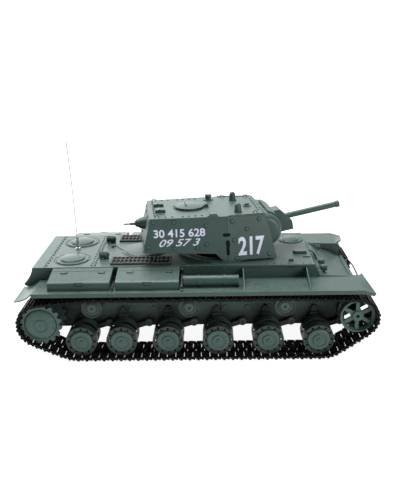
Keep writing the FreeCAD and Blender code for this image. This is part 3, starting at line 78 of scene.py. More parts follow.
PIVOT = joint_place("turret_traverse")
TRUNNION = joint_place("gun_elevation")
ACROSS = joint_axis("hatch_hinge")  # towards the turret's own left
AHEAD = ACROSS.cross(UP)  # and towards its front
GUN_LIFT = math.radians(10.5)
MUZZLE_WAY = AHEAD * math.cos(GUN_LIFT) + UP * math.sin(GUN_LIFT)
DECK_DROP = 0.0023  # from the upper hull's highest edge down to its deck
DECK_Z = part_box(SHELL)[1].z - DECK_DROP


def on_turret(u, v, z):
    """A point in the turret's frame: u ahead of its pivot, v to its left, z above the ground."""
    return Vector((PIVOT.x, PIVOT.y, 0)) + (AHEAD * u + ACROSS * v + UP * z) / 1000


trees = {}
OUTSIDE_MM = 250  # clear of the model on every side, where the rays below start


def land(node, start, way):
    """Where a ray first meets a CAD node, and the surface's normal there."""
    if node not in trees:
        mesh = frame["nodes"][node].data
        corners = [vert.co for vert in mesh.vertices]
        trees[node] = BVHTree.FromPolygons(corners, [face.vertices for face in mesh.polygons])
    spot, normal, _, _ = trees[node].ray_cast(start, way)
    if spot is None:
        raise ValueError(f"nothing of {node} is there: {start}")
    return spot, normal


def on_top(node, x, y):
    return land(node, mm(x, y, OUTSIDE_MM), -UP)


def on_side(node, side, x, z):
    return land(node, mm(x, side * OUTSIDE_MM, z), LEFT * -side)


def highest(nodes, x, y):
    """The top of whichever of these nodes stands highest at (x, y)."""
    found = []
    for node in nodes:
        try:
            found.append(on_top(node, x, y))
        except ValueError:
            continue
    return max(found, key=lambda top: top[0].z)


def turret_side(side, u, z):
    return land("turret_shell", on_turret(u, side * OUTSIDE_MM, z), ACROSS * -side)


def turret_rear(v, z):
    return land("turret_shell", on_turret(-OUTSIDE_MM, v, z), AHEAD)


def roof_top(u, v):
    spot = on_turret(u, v, 0)
    return highest(("turret_roof", "turret_shell"), spot.x * 1000, spot.y * 1000)


def span(low, high, count):
    return [low + (high - low) * k / (count - 1) for k in range(count)]


def angles(count, start=0.0):
    """Evenly spaced angles round a circle, the first at this many steps."""
    return [2 * math.pi * (k + start) / count for k in range(count)]


# ---- camera, at the photograph's view ----


CAMERA_MM = (19.52, -743.95, 362.31)
CAMERA_TURNS = ((1.22, "Z"), (70.57, "X"), (-1.18, "Z"))  # degrees
LENS_MM = 45.02
SENSOR_MM = 36

camera_data = bpy.data.cameras.new("camera")
camera_data.lens = LENS_MM
camera_data.sensor_width = SENSOR_MM
camera_data.clip_end = 30
camera = bpy.data.objects.new("camera", camera_data)
bpy.context.scene.collection.objects.link(camera)
view = Matrix.Translation(mm(*CAMERA_MM))
for degrees, axis in CAMERA_TURNS:
    view = view @ Matrix.Rotation(math.radians(degrees), 4, axis)
camera.matrix_world = view
bpy.context.scene.camera = camera


# ---- materials ----


def add(tree, kind, settings=None, **sockets):
    """A shader node with its settings and inputs; an input takes a value or a node's output."""
    item = tree.nodes.new(kind)
    for name, value in (settings or {}).items():
        setattr(item, name, value)
    for name, value in sockets.items():
        key = int(name[1:]) if name[0] == "_" else name.replace("_", " ")
        if isinstance(value, bpy.types.NodeSocket):
            tree.links.new(value, item.inputs[key])
        else:
            item.inputs[key].default_value = value
    return item


def new_material(name, **sockets):
    """A material, its node tree, its shader, and a point's own place as a node output."""
    material = bpy.data.materials.new(name)
    material.use_nodes = True
    tree = material.node_tree
    shader = tree.nodes["Principled BSDF"]
    for key, value in sockets.items():
        shader.inputs[key.replace("_", " ")].default_value = value
    return material, tree, shader, add(tree, "ShaderNodeTexCoord").outputs["Object"]


def noise(tree, place, scale, detail=3, roughness=0.55):
    return add(tree, "ShaderNodeTexNoise", Vector=place, Scale=scale, Detail=detail,
               Roughness=roughness).outputs[0]


def ramp(tree, value, low, high, to_low=0.0, to_high=1.0):
    """A value spread from one range to another, held at its ends."""
    return add(tree, "ShaderNodeMapRange", _0=value, _1=low, _2=high, _3=to_low,
               _4=to_high).outputs[0]


def blend(tree, share, first, second):
    """One colour turning into another as the share goes from 0 to 1."""
    item = add(tree, "ShaderNodeMix", {"data_type": "RGBA"}, _0=share)
    for index, value in ((6, first), (7, second)):
        if isinstance(value, bpy.types.NodeSocket):
            tree.links.new(value, item.inputs[index])
        else:
            item.inputs[index].default_value = (*value, 1)
    return item.outputs[2]


def calc(tree, operation, first, second=0.0):
    return add(tree, "ShaderNodeMath", {"operation": operation}, _0=first, _1=second).outputs[0]


def parts_of(tree, vector):
    """A vector's x, y and z."""
    return add(tree, "ShaderNodeSeparateXYZ", _0=vector).outputs


def waves(tree, value, gap):
    return calc(tree, "SINE", calc(tree, "MULTIPLY", value, 2 * math.pi / gap))


def shade(colour, factor):
    return tuple(min(1.0, c * factor) for c in colour)


def edge_share(tree, radius):
    """How near an outer edge a point is, from a rounded normal, and that normal."""
    rounded = add(tree, "ShaderNodeBevel", {"samples": 4}, Radius=radius).outputs[0]
    plain = add(tree, "ShaderNodeNewGeometry").outputs["Normal"]
    alike = add(tree, "ShaderNodeVectorMath", {"operation": "DOT_PRODUCT"}, _0=rounded, _1=plain)
    return ramp(tree, alike.outputs["Value"], 0.98, 0.78), rounded


def add_relief(tree, shader, **bump):
    tree.links.new(add(tree, "ShaderNodeBump", **bump).outputs[0], shader.inputs["Normal"])


GREEN = (0.029, 0.063, 0.053)
TUB_SHADE = (0.006, 0.009, 0.008)
# Painted shade for the wheels' rims and inboard halves.
RIM_SHADE_GREEN = (0.014, 0.026, 0.023)
DUST_AND_TOP_HIGHLIGHT = (0.30, 0.34, 0.33)
TOOL_BLACK = (0.006, 0.006, 0.006)


def sprayed_plastic(name, colour, roughness=0.42, dirt_and_shade=None, shade_fades=None, paint=None):
    """Moulded plastic under a thin satin spray: soft blotches, fine grain, pale rubbed edges and
    dust with a painted highlight on top. A colour for the bottom is painted shade, which covers
    it below the first of two heights and is gone at the second. Paint gives a mask and a second
    colour: black paint on the tools, painted shade on the wheels."""
    material, tree, shader, place = new_material(name, Specular_IOR_Level=0.45)
    blotch = noise(tree, place, scale=38, detail=4)
    grain = noise(tree, place, scale=1500, detail=2)
    scuff = noise(tree, place, scale=240, detail=5, roughness=0.7)
    surface = blend(tree, ramp(tree, blotch, 0.3, 0.7), shade(colour, 0.84), shade(colour, 1.14))
    # On the wheels this second colour is painted shade.
    if paint:
        share, other = paint(tree, place)
        surface = blend(tree, share, surface, other)
    # Painted shade: darker towards the bottom, below the first of the two heights.
    if dirt_and_shade:
        ragged = calc(tree, "ADD", parts_of(tree, place)[2], calc(tree, "MULTIPLY", scuff, 0.006))
        surface = blend(tree, ramp(tree, ragged, *shade_fades), dirt_and_shade, surface)
    # Faces that point up get paler with dust and a painted highlight.
    upward = parts_of(tree, add(tree, "ShaderNodeNewGeometry").outputs["Normal"])[2]
    patchy = ramp(tree, scuff, 0.35, 0.75, 0.04, 0.2)
    dust = calc(tree, "MULTIPLY", ramp(tree, upward, 0.5, 1.0), patchy)
    surface = blend(tree, dust, surface, DUST_AND_TOP_HIGHLIGHT)
    edge, rounded = edge_share(tree, 0.0005)
    rubbed = calc(tree, "MULTIPLY", edge, ramp(tree, scuff, 0.4, 0.62, 0.1, 0.6))
    surface = blend(tree, rubbed, surface, shade(colour, 2.1))
    tree.links.new(surface, shader.inputs["Base Color"])
    satin = ramp(tree, scuff, 0.3, 0.7, roughness - 0.06, roughness + 0.1)
    tree.links.new(satin, shader.inputs["Roughness"])
    relief = calc(tree, "ADD", calc(tree, "MULTIPLY", grain, 0.5), scuff)
    add_relief(tree, shader, Strength=0.35, Distance=0.00008, Height=relief, Normal=rounded)
    return material


def dull_dark(name, colour):
    """Painted shade for recesses and the lines between parts: no shine, slightly uneven."""
    material, tree, shader, place = new_material(name, Roughness=0.9, Specular_IOR_Level=0.1)
    mottle = noise(tree, place, scale=600, detail=4)
    surface = blend(tree, mottle, shade(colour, 0.5), shade(colour, 1.5))
    tree.links.new(surface, shader.inputs["Base Color"])
    return material


def black_plastic(name, colour, dust, roughness=0.5, gloss=0.5):
    """Matte black moulding with dust in its grain and pale scuffs along the edges."""
    material, tree, shader, place = new_material(name, Specular_IOR_Level=gloss)
    scuff = noise(tree, place, scale=420, detail=5, roughness=0.7)
    grain = noise(tree, place, scale=1900, detail=2)
    edge, rounded = edge_share(tree, 0.0003)
    worn = calc(tree, "MULTIPLY", edge, ramp(tree, scuff, 0.4, 0.65, 0.1, 0.7))
    surface = blend(tree, ramp(tree, scuff, 0.45, 0.8, 0.0, 0.35), colour, dust)
    surface = blend(tree, worn, surface, shade(dust, 1.5))
    tree.links.new(surface, shader.inputs["Base Color"])
    uneven = ramp(tree, scuff, 0.3, 0.7, roughness - 0.1, roughness + 0.15)
    tree.links.new(uneven, shader.inputs["Roughness"])
    add_relief(tree, shader, Strength=0.4, Distance=0.0001, Height=grain, Normal=rounded)
    return material


def wheel_shade_mask(axle, inner, outer, dark):
    """A mask of painted shade between two distances from an axle, and on the wheel's inboard half.
    """
    soft = 0.00015

    def mask(tree, place):
        away = add(tree, "ShaderNodeVectorMath", {"operation": "SUBTRACT"}, _0=place,
                   _1=tuple(axle))
        x, y, z = parts_of(tree, away.outputs[0])
        square = calc(tree, "ADD", calc(tree, "POWER", x, 2), calc(tree, "POWER", z, 2))
        distance = calc(tree, "SQRT", square)
        beyond = ramp(tree, distance, inner - soft, inner + soft)
        within = ramp(tree, distance, outer - soft, outer + soft, 1.0, 0.0)
        outboard = calc(tree, "MULTIPLY", y, math.copysign(1, axle.y))
        inboard = ramp(tree, outboard, 0.008, 0.009, 1.0, 0.0)
        return calc(tree, "MAXIMUM", calc(tree, "MULTIPLY", beyond, within), inboard), dark
    return mask


def ahead_of(tree, place, x):
    """A mask that is on ahead of some x."""
    return ramp(tree, parts_of(tree, place)[0], x, x + 0.0001)


def mesh_metal(name, colour, other, from_x):
    """Painted wire mesh, two crossed sets of fine ribs, ahead of some x; plain paint behind it."""
    material, tree, shader, place = new_material(name, Roughness=0.6)
    x, y, _ = parts_of(tree, place)
    weave = calc(tree, "MAXIMUM", waves(tree, x, 0.0011), waves(tree, y, 0.0011))
    dirt_and_shade = noise(tree, place, scale=300, detail=4)
    surface = blend(tree, ramp(tree, weave, -0.2, 0.9), shade(colour, 0.25), colour)
    surface = blend(tree, ramp(tree, dirt_and_shade, 0.4, 0.7, 0.0, 0.5), surface, shade(colour, 0.5))
    surface = blend(tree, ahead_of(tree, place, from_x), other, surface)
    tree.links.new(surface, shader.inputs["Base Color"])
    add_relief(tree, shader, Strength=0.8, Distance=0.0002, Height=weave)
    return material


def worn_metal(name, colour, roughness, metallic=1.0):
    """Bare metal with fine scratches and tarnish."""
    material, tree, shader, place = new_material(name, Metallic=metallic)
    stretched = add(tree, "ShaderNodeMapping", Vector=place, Scale=(1, 1, 14)).outputs[0]
    scratch = noise(tree, stretched, scale=700, detail=4)
    surface = blend(tree, ramp(tree, scratch, 0.35, 0.65), shade(colour, 0.7), colour)
    tree.links.new(surface, shader.inputs["Base Color"])
    uneven = ramp(tree, scratch, 0.3, 0.7, roughness, roughness + 0.15)
    tree.links.new(uneven, shader.inputs["Roughness"])
    return material


def marking_paint(name, colour):
    """Stencilled paint, thin in places, over the spray underneath."""
    material, tree, shader, place = new_material(name, Roughness=0.5)
    thin = noise(tree, place, scale=500, detail=5, roughness=0.75)
    surface = blend(tree, ramp(tree, thin, 0.55, 0.75, 0.0, 0.55), colour, shade(GREEN, 1.6))
    tree.links.new(surface, shader.inputs["Base Color"])
    return material


def clear_plastic(name):
    material, tree, shader, place = new_material(name, Transmission_Weight=0.9, IOR=1.46)
    haze = noise(tree, place, scale=600, detail=3)
    tree.links.new(ramp(tree, haze, 0.3, 0.7, 0.03, 0.16), shader.inputs["Roughness"])
    surface = blend(tree, haze, (0.85, 0.86, 0.86), (0.97, 0.97, 0.97))
    tree.links.new(surface, shader.inputs["Base Color"])
    return material


def wrapped(name, colour, line, gap, roughness=0.35):
    """Shrink wrap or lacquer with lines across it at some gap, for what is inside the hull."""
    material, tree, shader, place = new_material(name)
    mottle = noise(tree, place, scale=350, detail=4)
    lines = ramp(tree, waves(tree, parts_of(tree, place)[0], gap), 0.7, 0.9)
    surface = blend(tree, lines, blend(tree, mottle, shade(colour, 0.7), colour), line)
    tree.links.new(surface, shader.inputs["Base Color"])
    uneven = ramp(tree, mottle, 0.3, 0.7, roughness, roughness + 0.2)
    tree.links.new(uneven, shader.inputs["Roughness"])
    return material


TOOLS_FROM_X = 0.053  # the stowage ahead of this is a black tool


def black_tools(tree, place):
    return ahead_of(tree, place, TOOLS_FROM_X), TOOL_BLACK


green = sprayed_plastic("sprayed_green", GREEN)
# The lower hull's tub gets painted shade, darker towards the bottom.
tub_green = sprayed_plastic("tub_green", shade(GREEN, 0.9), roughness=0.5, dirt_and_shade=TUB_SHADE,
                            shade_fades=(0.036, 0.056))
stowage_green = sprayed_plastic("stowage_green", GREEN, paint=black_tools)
wheel_bolt_green = sprayed_plastic("wheel_bolt_green", shade(GREEN, 1.1))
plug_green = sprayed_plastic("plug_green", shade(GREEN, 1.15))
black = black_plastic("black_moulding", (0.007, 0.007, 0.0075), (0.035, 0.034, 0.033))
track_black = black_plastic("track_black", (0.0035, 0.0035, 0.0035), (0.014, 0.013, 0.0125),
                            gloss=0.12)
rope_fibre = black_plastic("rope_fibre", (0.008, 0.007, 0.007), (0.04, 0.034, 0.03),
                           roughness=0.7)
shadow_dark = dull_dark("bolt_shadow", (0.006, 0.010, 0.009))
GRILLES_FROM_X = -0.1045  # the exhausts are behind this, in the same node
grille_brown = mesh_metal("grille_mesh", (0.05, 0.042, 0.04), GREEN, GRILLES_FROM_X)
chrome = worn_metal("plated_metal", (0.82, 0.81, 0.79), 0.12)
steel = worn_metal("motor_steel", (0.52, 0.52, 0.54), 0.35)
pale_wire = worn_metal("aerial_wire", (0.36, 0.33, 0.35), 0.4, 0.5)
white_paint = marking_paint("marking_white", (0.62, 0.64, 0.78))
battery_wrap = wrapped("battery_wrap", (0.03, 0.07, 0.30), (0.7, 0.7, 0.72), 0.031)
board_lacquer = wrapped("board_lacquer", (0.02, 0.12, 0.05), (0.45, 0.38, 0.12), 0.0042, 0.25)

CAD_FINISH = {
    stowage_green: ("fender_stowage",),
    green: (SHELL, "fenders", "deck_hatches", "bow_fittings", "battery_hatch", "headlight",
            "turret_shell", "turret_roof", "turret_ring", "roof_fittings", "turret_hatch",
            "mantlet", "gun_barrel", "rear_machine_gun"),
    tub_green: ("lower_hull",),
    track_black: ("track_left", "track_right"),
    black: ("power_switch", *(n for n in frame["nodes"] if n.startswith("suspension_arm"))),
    grille_brown: ("deck_grilles_and_exhausts",),
    steel: ("drive_units", "hull_screws"),
    battery_wrap: ("battery",),
    board_lacquer: ("control_board",),
}
WHEEL_LANE = 0.082  # from the middle of the tank to the middle of a track
# Where each kind of wheel gets painted shade: between two radii, and on its inboard half.
SHADE_BAND = {"road_wheel": (0.0129, 0.03), "return_roller": (0.0076, 0.0105),
             "drive_sprocket": (0.05, 0.06), "idler": (0.05, 0.06)}  # radii; 0.05 is past the rim


def dress(node, material):
    mesh = frame["nodes"][node].data
    mesh.materials.clear()
    mesh.materials.append(material)


def axle_of(node):
    """The middle of a wheel, and which side it is on."""
    low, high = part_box(node)
    side = math.copysign(1, low.y)
    return Vector(((low.x + high.x) / 2, side * WHEEL_LANE, (low.z + high.z) / 2)), side


for finish, names in CAD_FINISH.items():
    for node_name in names:
        dress(node_name, finish)
# Every wheel gets painted shade on a band and on its inboard half.
for node_name in frame["nodes"]:
    for kind, (inner, outer) in SHADE_BAND.items():
        if node_name.startswith(kind):
            mask = wheel_shade_mask(axle_of(node_name)[0], inner, outer, RIM_SHADE_GREEN)
            dress(node_name, sprayed_plastic(f"{node_name}_finish", shade(GREEN, 1.3), paint=mask))


# ---- mesh tools, all in millimetres ----


def finish_piece(name, mesh_data, body, material, smooth=35):
    """Turn a bmesh into a piece that rides on a body."""
    bmesh.ops.recalc_face_normals(mesh_data, faces=mesh_data.faces)
    mesh = bpy.data.meshes.new(name)
    mesh_data.to_mesh(mesh)
    mesh_data.free()
    piece = bpy.data.objects.new(name, mesh)
    bpy.context.scene.collection.objects.link(piece)
    mesh.materials.append(material)
    mesh.shade_smooth()
    mesh.set_sharp_from_angle(angle=math.radians(smooth))
    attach(piece, body)
    return piece


def shadow_piece(name, mesh_data, body="hull"):
    """Painted shade: the dark lines and recesses between one moulding and the next."""
    return finish_piece(name, mesh_data, body, shadow_dark)


def facing(spot, normal, ahead=None):
    """A placement at a spot whose Z is the surface's normal, and whose X leans towards ahead."""
    z = Vector(normal).normalized()
    x = ahead or (FORWARD if abs(z.x) < 0.9 else LEFT)
    x = (x - z * x.dot(z)).normalized()
    return Matrix.Translation(spot) @ Matrix((x, z.cross(x), z)).transposed().to_4x4()


def bridge(mesh_data, low, high):
    """Faces from one ring of points to the next; either ring may be a single point."""
    for k in range(max(len(low), len(high))):
        steps = ((low, k), (low, k + 1), (high, k + 1), (high, k))
        corners = [ring[step % len(ring)] for ring, step in steps]
        mesh_data.faces.new(list(dict.fromkeys(corners)))


def lathe(mesh_data, profile, place, sides=16):
    """Turn (radius, height) steps about the local Z of a placement."""
    rings = [
        [mesh_data.verts.new(place @ mm(radius * math.cos(a), radius * math.sin(a), height))
         for a in angles(sides if radius else 1)]
        for radius, height in profile
    ]
    for low, high in zip(rings, rings[1:]):
        bridge(mesh_data, low, high)


def ring_line(mesh_data, place, inner, width, height, sides, sunk=0.1):
    """A thin flat ring that stands a little out of a surface."""
    outer = inner + width
    profile = ((inner, -sunk), (inner, height), (outer, height), (outer, -sunk))
    lathe(mesh_data, profile, place, sides)


def block(mesh_data, size, place, bevel=0.2):
    """A box with rounded edges, standing on its placement."""
    made = bmesh.ops.create_cube(mesh_data, size=1)["verts"]
    stand = Matrix.Diagonal((*mm(*size), 1)) @ Matrix.Translation((0, 0, 0.5))
    bmesh.ops.transform(mesh_data, matrix=place @ stand, verts=made)
    edges = list(dict.fromkeys(edge for vert in made for edge in vert.link_edges))
    bmesh.ops.bevel(mesh_data, geom=edges, offset=bevel / 1000, segments=2, affect="EDGES",
                    profile=0.6)


def slot_plate(mesh_data, wide, tall, thick, place):
    """A plate with half-round ends, its thickness along the placement's Z."""
    radius, half_run = min(wide, tall) / 2, abs(wide - tall) / 2
    rim = []
    for angle in angles(24, 0.5):
        x, y = radius * math.cos(angle), radius * math.sin(angle)
        if wide > tall:
            x += math.copysign(half_run, x)
        else:
            y += math.copysign(half_run, y)
        rim.append((x, y))
    low, high = ([mesh_data.verts.new(place @ mm(x, y, z)) for x, y in rim] for z in (-0.1, thick))
    mesh_data.faces.new(low)
    mesh_data.faces.new(high)
    bridge(mesh_data, low, high)


def strip(mesh_data, spots, width, height, bevel=0.12):
    """A thin bar laid along a line of spots, each with its normal."""
    for (start, normal), (end, _) in zip(spots, spots[1:]):
        way = end - start
        place = facing((start + end) / 2, normal, way)
        block(mesh_data, (way.length * 1000, width, height), place, bevel)


DOME = ((1, 0.25), (0.86, 0.6), (0.5, 0.9), (0, 1))  # shares of a head's radius and height


def heads(name, spots, radius, height, body="hull", material=green, sides=8):
    """Domed rivet, bolt or plug heads at (spot, normal) places, sunk a little into the surface."""
    mesh_data = bmesh.new()
    profile = [(radius, -0.15)] + [(radius * r, height * h) for r, h in DOME]
    for spot, normal in spots:
        lathe(mesh_data, profile, facing(spot, normal), sides)
    return finish_piece(name, mesh_data, body, material)


def spline_curve(name, spots, steps=12):
    """A curve of one smooth spline that has these spots, in metres, as its control points."""
    curve = bpy.data.curves.new(name, "CURVE")
    curve.dimensions = "3D"
    curve.resolution_u = steps
    line = curve.splines.new("NURBS")
    line.points.add(len(spots) - 1)
    for point, spot in zip(line.points, spots):
        point.co = (*spot, 1)
    line.order_u = 3
    line.use_endpoint_u = True
    return curve


def mesh_from(name, curve):
    """The mesh that a curve or a text makes."""
    source = bpy.data.objects.new(name, curve)
    bpy.context.scene.collection.objects.link(source)
    evaluated = source.evaluated_get(bpy.context.evaluated_depsgraph_get())
    mesh = bpy.data.meshes.new_from_object(evaluated)
    bpy.data.objects.remove(source)
    return mesh


def wire_piece(name, spots, radius, material, capped=False):
    """A round wire on the hull, along a smooth spline; its radius is in metres, like its spots."""
    curve = spline_curve(name, spots)
    curve.bevel_depth = radius
    curve.bevel_resolution = 3
    curve.use_fill_caps = capped
    curve.materials.append(material)
    piece = bpy.data.objects.new(name, curve)
    bpy.context.scene.collection.objects.link(piece)
    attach(piece, "hull")
    return piece


# ---- tow cable: a loose twisted cord across the bow ----


CABLE_MM = ((163, 50, 84), (174, 53, 81), (185, 54, 76), (194, 51, 72.4), (198, 42, 70.6),
            (199.6, 28, 70.8), (199.9, 12, 71.6), (199.6, -4, 71.2), (199.2, -20, 70.4),
            (198.6, -34, 68), (197.4, -46, 64))
CABLE_RADIUS_MM = 0.9
TWIST_MM = 7.0  # one turn of a strand


def strands(mesh_data, path, around, offset, radius, sides=7):
    """Strands of one radius, wound along a path at an offset from it."""
    thick = radius / 1000
    for number in range(around):
        normal = UP.copy()
        length, rings = 0.0, []
        for index, spot in enumerate(path):
            before = path[max(index - 1, 0)]
            way = (path[min(index + 1, len(path) - 1)] - before).normalized()
            normal = (normal - way * normal.dot(way)).normalized()
            other = way.cross(normal)
            length += (spot - before).length * 1000
            wound = 2 * math.pi * (number / around + length / TWIST_MM)
            middle = spot + (normal * math.cos(wound) + other * math.sin(wound)) * (offset / 1000)
            rings.append([
                mesh_data.verts.new(middle + (normal * math.cos(a) + other * math.sin(a)) * thick)
                for a in angles(sides)
            ])
        for low, high in zip(rings, rings[1:]):
            bridge(mesh_data, low, high)
        mesh_data.faces.new(rings[0])
        mesh_data.faces.new(rings[-1])


cable_curve = spline_curve("cable_line", [mm(*spot) for spot in CABLE_MM], 24)
cable_line = mesh_from("cable_line", cable_curve)
cable_path = [vert.co.copy() for vert in cable_line.vertices]
cable_mesh = bmesh.new()
strands(cable_mesh, cable_path, 6, CABLE_RADIUS_MM * 0.64, CABLE_RADIUS_MM * 0.36)
strands(cable_mesh, cable_path, 1, 0, CABLE_RADIUS_MM * 0.4)  # the core
cable = finish_piece("tow_cable_strands", cable_mesh, "hull", rope_fibre, 80)
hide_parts("tow_cable")


# ---- turret ----


SIDE_PLUGS = ((-22.1, 146.8), (-21.9, 124.7), (9, 150.5), (41.2, 151.2), (26.2, 140.4),
              (11.1, 128.3), (53, 108.8), (13.7, 106.3), (-59.1, 152.4), (-83.2, 153.2),
              (-60.1, 122), (-90.3, 124.4), (-32.6, 121))  # u, z
PLUG_RADIUS, PLUG_HEIGHT = 2.3, 0.9
SEAM_U, SEAM_RUNS = 2.8, ((155, 137.5), (109.5, 104.5))  # down the side, above and below the ports
PORTS = ((2, 135, 9, 4), (3.3, 119.4, 5, 18.8))  # u, z, width, height
ROOF_BOLTS = [(u, v) for v in (-38.6, 38.6) for u in (-68, -60, -48, -41, -33, -25.5)]
ROOF_BOLTS += [(44, v) for v in span(-26, 26, 7)] + [(-80.5, v) for v in span(-30, 30, 7)]
ROOF_BARS = (((48.4, -40), (48.4, 40)), ((47, -41.6), (4, -45.4)), ((47, 41.6), (4, 45.4)))  # u, v
HATCH_U, HATCH_V = -36.5, 1.5
HANDLE_U, HANDLE_HALF = -41, 7
HANDLE_FOOT = ((0.8, -0.1), (0.8, 1.4), (0.55, 1.9), (0, 2))

for side, word in SIDES:
    spots = [turret_side(side, u, z) for u, z in SIDE_PLUGS]
    heads(f"turret_plugs_{word}", spots, PLUG_RADIUS, PLUG_HEIGHT, "turret", plug_green, sides=20)
    lines = bmesh.new()
    for spot, normal in spots:
        ring_line(lines, facing(spot, normal), 2.25, 0.45, 0.12, 24)
    shadow_piece(f"turret_plug_lines_{word}", lines, "turret")
    seam = bmesh.new()
    for run in SEAM_RUNS:
        strip(seam, [turret_side(side, SEAM_U, z) for z in run], 0.5, 0.1, 0.04)
    shadow_piece(f"turret_seam_{word}", seam, "turret")
heads("roof_bolts", [roof_top(u, v) for u, v in ROOF_BOLTS], 1.1, 0.8, "turret", shadow_dark)
# Painted shade in the turret's vision port slits.
shade_slots = bmesh.new()
for side, _ in SIDES:
    for u, z, wide, tall in PORTS:
        spot, normal = turret_side(side, u, z)
        slot_plate(shade_slots, wide, tall, 0.3, facing(spot, normal, AHEAD))
shadow_piece("vision_port_shade_slots", shade_slots, "turret")

edging = bmesh.new()
for ends in ROOF_BARS:
    strip(edging, [roof_top(u, v) for u, v in ends], 1.1, 0.7, 0.2)
finish_piece("roof_edge_bars", edging, "turret", green)

handle = bmesh.new()
feet = []
for v in (HATCH_V - HANDLE_HALF, HATCH_V + HANDLE_HALF):
    spot = on_turret(HANDLE_U, v, 0) * 1000
    feet.append(on_top("turret_hatch", spot.x, spot.y)[0])
for foot in feet:
    lathe(handle, HANDLE_FOOT, facing(foot, UP))
strip(handle, [(foot + mm(0, 0, 1.2), UP) for foot in feet], 0.9, 0.8, 0.3)
finish_piece("hatch_handle", handle, "hatch", green)

rim = bmesh.new()
beside = on_turret(HATCH_U, HATCH_V + 20.5, 0) * 1000
roof_z = on_top("turret_roof", beside.x, beside.y)[0].z
ring_line(rim, Matrix.Translation(on_turret(HATCH_U, HATCH_V, roof_z * 1000)), 19.2, 0.7, 0.25, 64)
shadow_piece("hatch_shadow_ring", rim, "turret")


# ---- painted numbers, which stand where the model has its hand-painted words ----


def painted_number(name, digits, across, upward, slant=0.0, side=-1, weight=0.03):
    """Digits stretched over a box on the turret's side, from its u range and its heights."""
    curve = bpy.data.curves.new(name, "FONT")
    curve.body, curve.shear, curve.offset = digits, slant, weight
    mesh_data = bmesh.new()
    mesh_data.from_mesh(mesh_from(name, curve))
    long_edges = [edge for edge in mesh_data.edges if edge.calc_length() > 0.15]
    bmesh.ops.subdivide_edges(mesh_data, edges=long_edges, cuts=2)
    bmesh.ops.triangulate(mesh_data, faces=mesh_data.faces)
    low = [min(vert.co[axis] for vert in mesh_data.verts) for axis in (0, 1)]
    high = [max(vert.co[axis] for vert in mesh_data.verts) for axis in (0, 1)]
    for vert in mesh_data.verts:
        u_share, z_share = ((vert.co[a] - low[a]) / (high[a] - low[a]) for a in (0, 1))
        u = across[0] + (across[1] - across[0]) * (u_share if side < 0 else 1 - u_share)
        spot, normal = turret_side(side, u, upward[0] + (upward[1] - upward[0]) * z_share)
        vert.co = spot + normal * 0.00012
    return finish_piece(name, mesh_data, "turret", white_paint, 60)


FRONT_BOX = ((15.8, 47.4), (109, 131.5))
painted_number("number_front_right", "217", *FRONT_BOX)
painted_number("number_rear_right", "30 415 628", (-83, -23), (135, 144.4), weight=0.02)
painted_number("number_rear_right_low", "09 57 3", (-77, -29), (124.4, 132.8), 0.4, weight=0.01)
painted_number("number_front_left", "217", *FRONT_BOX, side=1)


# ---- gun ----


MUZZLE = TRUNNION + MUZZLE_WAY * 0.1035
bore = bmesh.new()
lathe(bore, ((2.2, -3), (2.2, 0.12), (0, 0.1)), facing(MUZZLE, MUZZLE_WAY), 24)
finish_piece("gun_bore_shadow", bore, "gun", black)


# ---- deck ----


CROSS_SEAM_X, REAR_SEAM_X = -121.9, -179.7
COVERS = ((-150.9, 32, 21.6, 19.2, 12), (-150.9, -32, 21.6, 19.2, 12), (120.8, 32, 15.9, 14.2, 10),
          (-65.7, 0, 28.9, 26.3, 14))  # x, y, ring radius, bolt circle radius, bolt count
FITTINGS = ((132.5, -34, 9, 1.6, 1.2), (110, -48, 1.6, 1.6, 2.6), (114.5, -48, 1.6, 1.6, 2.6),
            (112.3, -48, 6, 1.0, 3.0), (-80, 52, 4, 4, 1.6), (-108, 11, 3, 3, 2.2),
            (20, -56.5, 5, 1.4, 1.8), (-14, -56.5, 5, 1.4, 1.8))  # x, y, length, width, height
BAND_X = (-12.6, 3, 32, 47.2)
DRUM_Y, DRUM_Z = 84, 92.7
BAND_PROFILE = ((6.05, -0.9), (6.35, -0.7), (6.35, 0.7), (6.05, 0.9))
TIE_WIRE = ((-106, 11), (-104.5, 18), (-99, 5), (-93, 0), (-86, -13), (-81, -23))  # x, y


def deck_bolts(name, spots, radius=1.05, height=0.7):
    tops = [on_top(SHELL, x, y) for x, y in spots]
    return heads(name, tops, radius, height, material=shadow_dark)


def deck_top(x, y):
    return highest(("deck_hatches", SHELL), x, y)


seam_rows = (CROSS_SEAM_X + 2.3, CROSS_SEAM_X - 2.3)
deck_bolts("cross_seam_bolts", [(x, y) for x in seam_rows for y in span(-54, 54, 15)])
deck_bolts("rear_seam_bolts", [(REAR_SEAM_X + 2.5, y) for y in span(-54, 54, 13)])
seams = bmesh.new()
for x in (CROSS_SEAM_X, REAR_SEAM_X):
    strip(seams, [on_top(SHELL, x, y) for y in span(-56, 56, 8)], 0.5, 0.06, 0.02)
shadow_piece("deck_seam_lines", seams)
deck_bolts("deck_edge_bolts", [(x, y) for x in span(66, 134, 9) for y in (-56.5, 56.5)], 0.8, 0.4)

rings = bmesh.new()
cover_bolts = []
for x, y, ring, circle, count in COVERS:
    ring_line(rings, Matrix.Translation(mm(x, y, DECK_Z * 1000)), ring, 0.5, 0.15, 72)
    for angle in angles(count, 0.5):
        cover_bolts.append(deck_top(x + circle * math.cos(angle), y + circle * math.sin(angle)))
shadow_piece("cover_ring_lines", rings)
heads("cover_bolts", cover_bolts, 0.8, 0.5)

fittings = bmesh.new()
for x, y, *size in FITTINGS:
    block(fittings, size, facing(*on_top(SHELL, x, y)), 0.3)
finish_piece("deck_small_fittings", fittings, "hull", plug_green)

bands = bmesh.new()
for side, _ in SIDES:
    for x in BAND_X:
        lathe(bands, BAND_PROFILE, facing(mm(x, side * DRUM_Y, DRUM_Z), FORWARD), 40)
finish_piece("drum_bands", bands, "hull", plug_green)

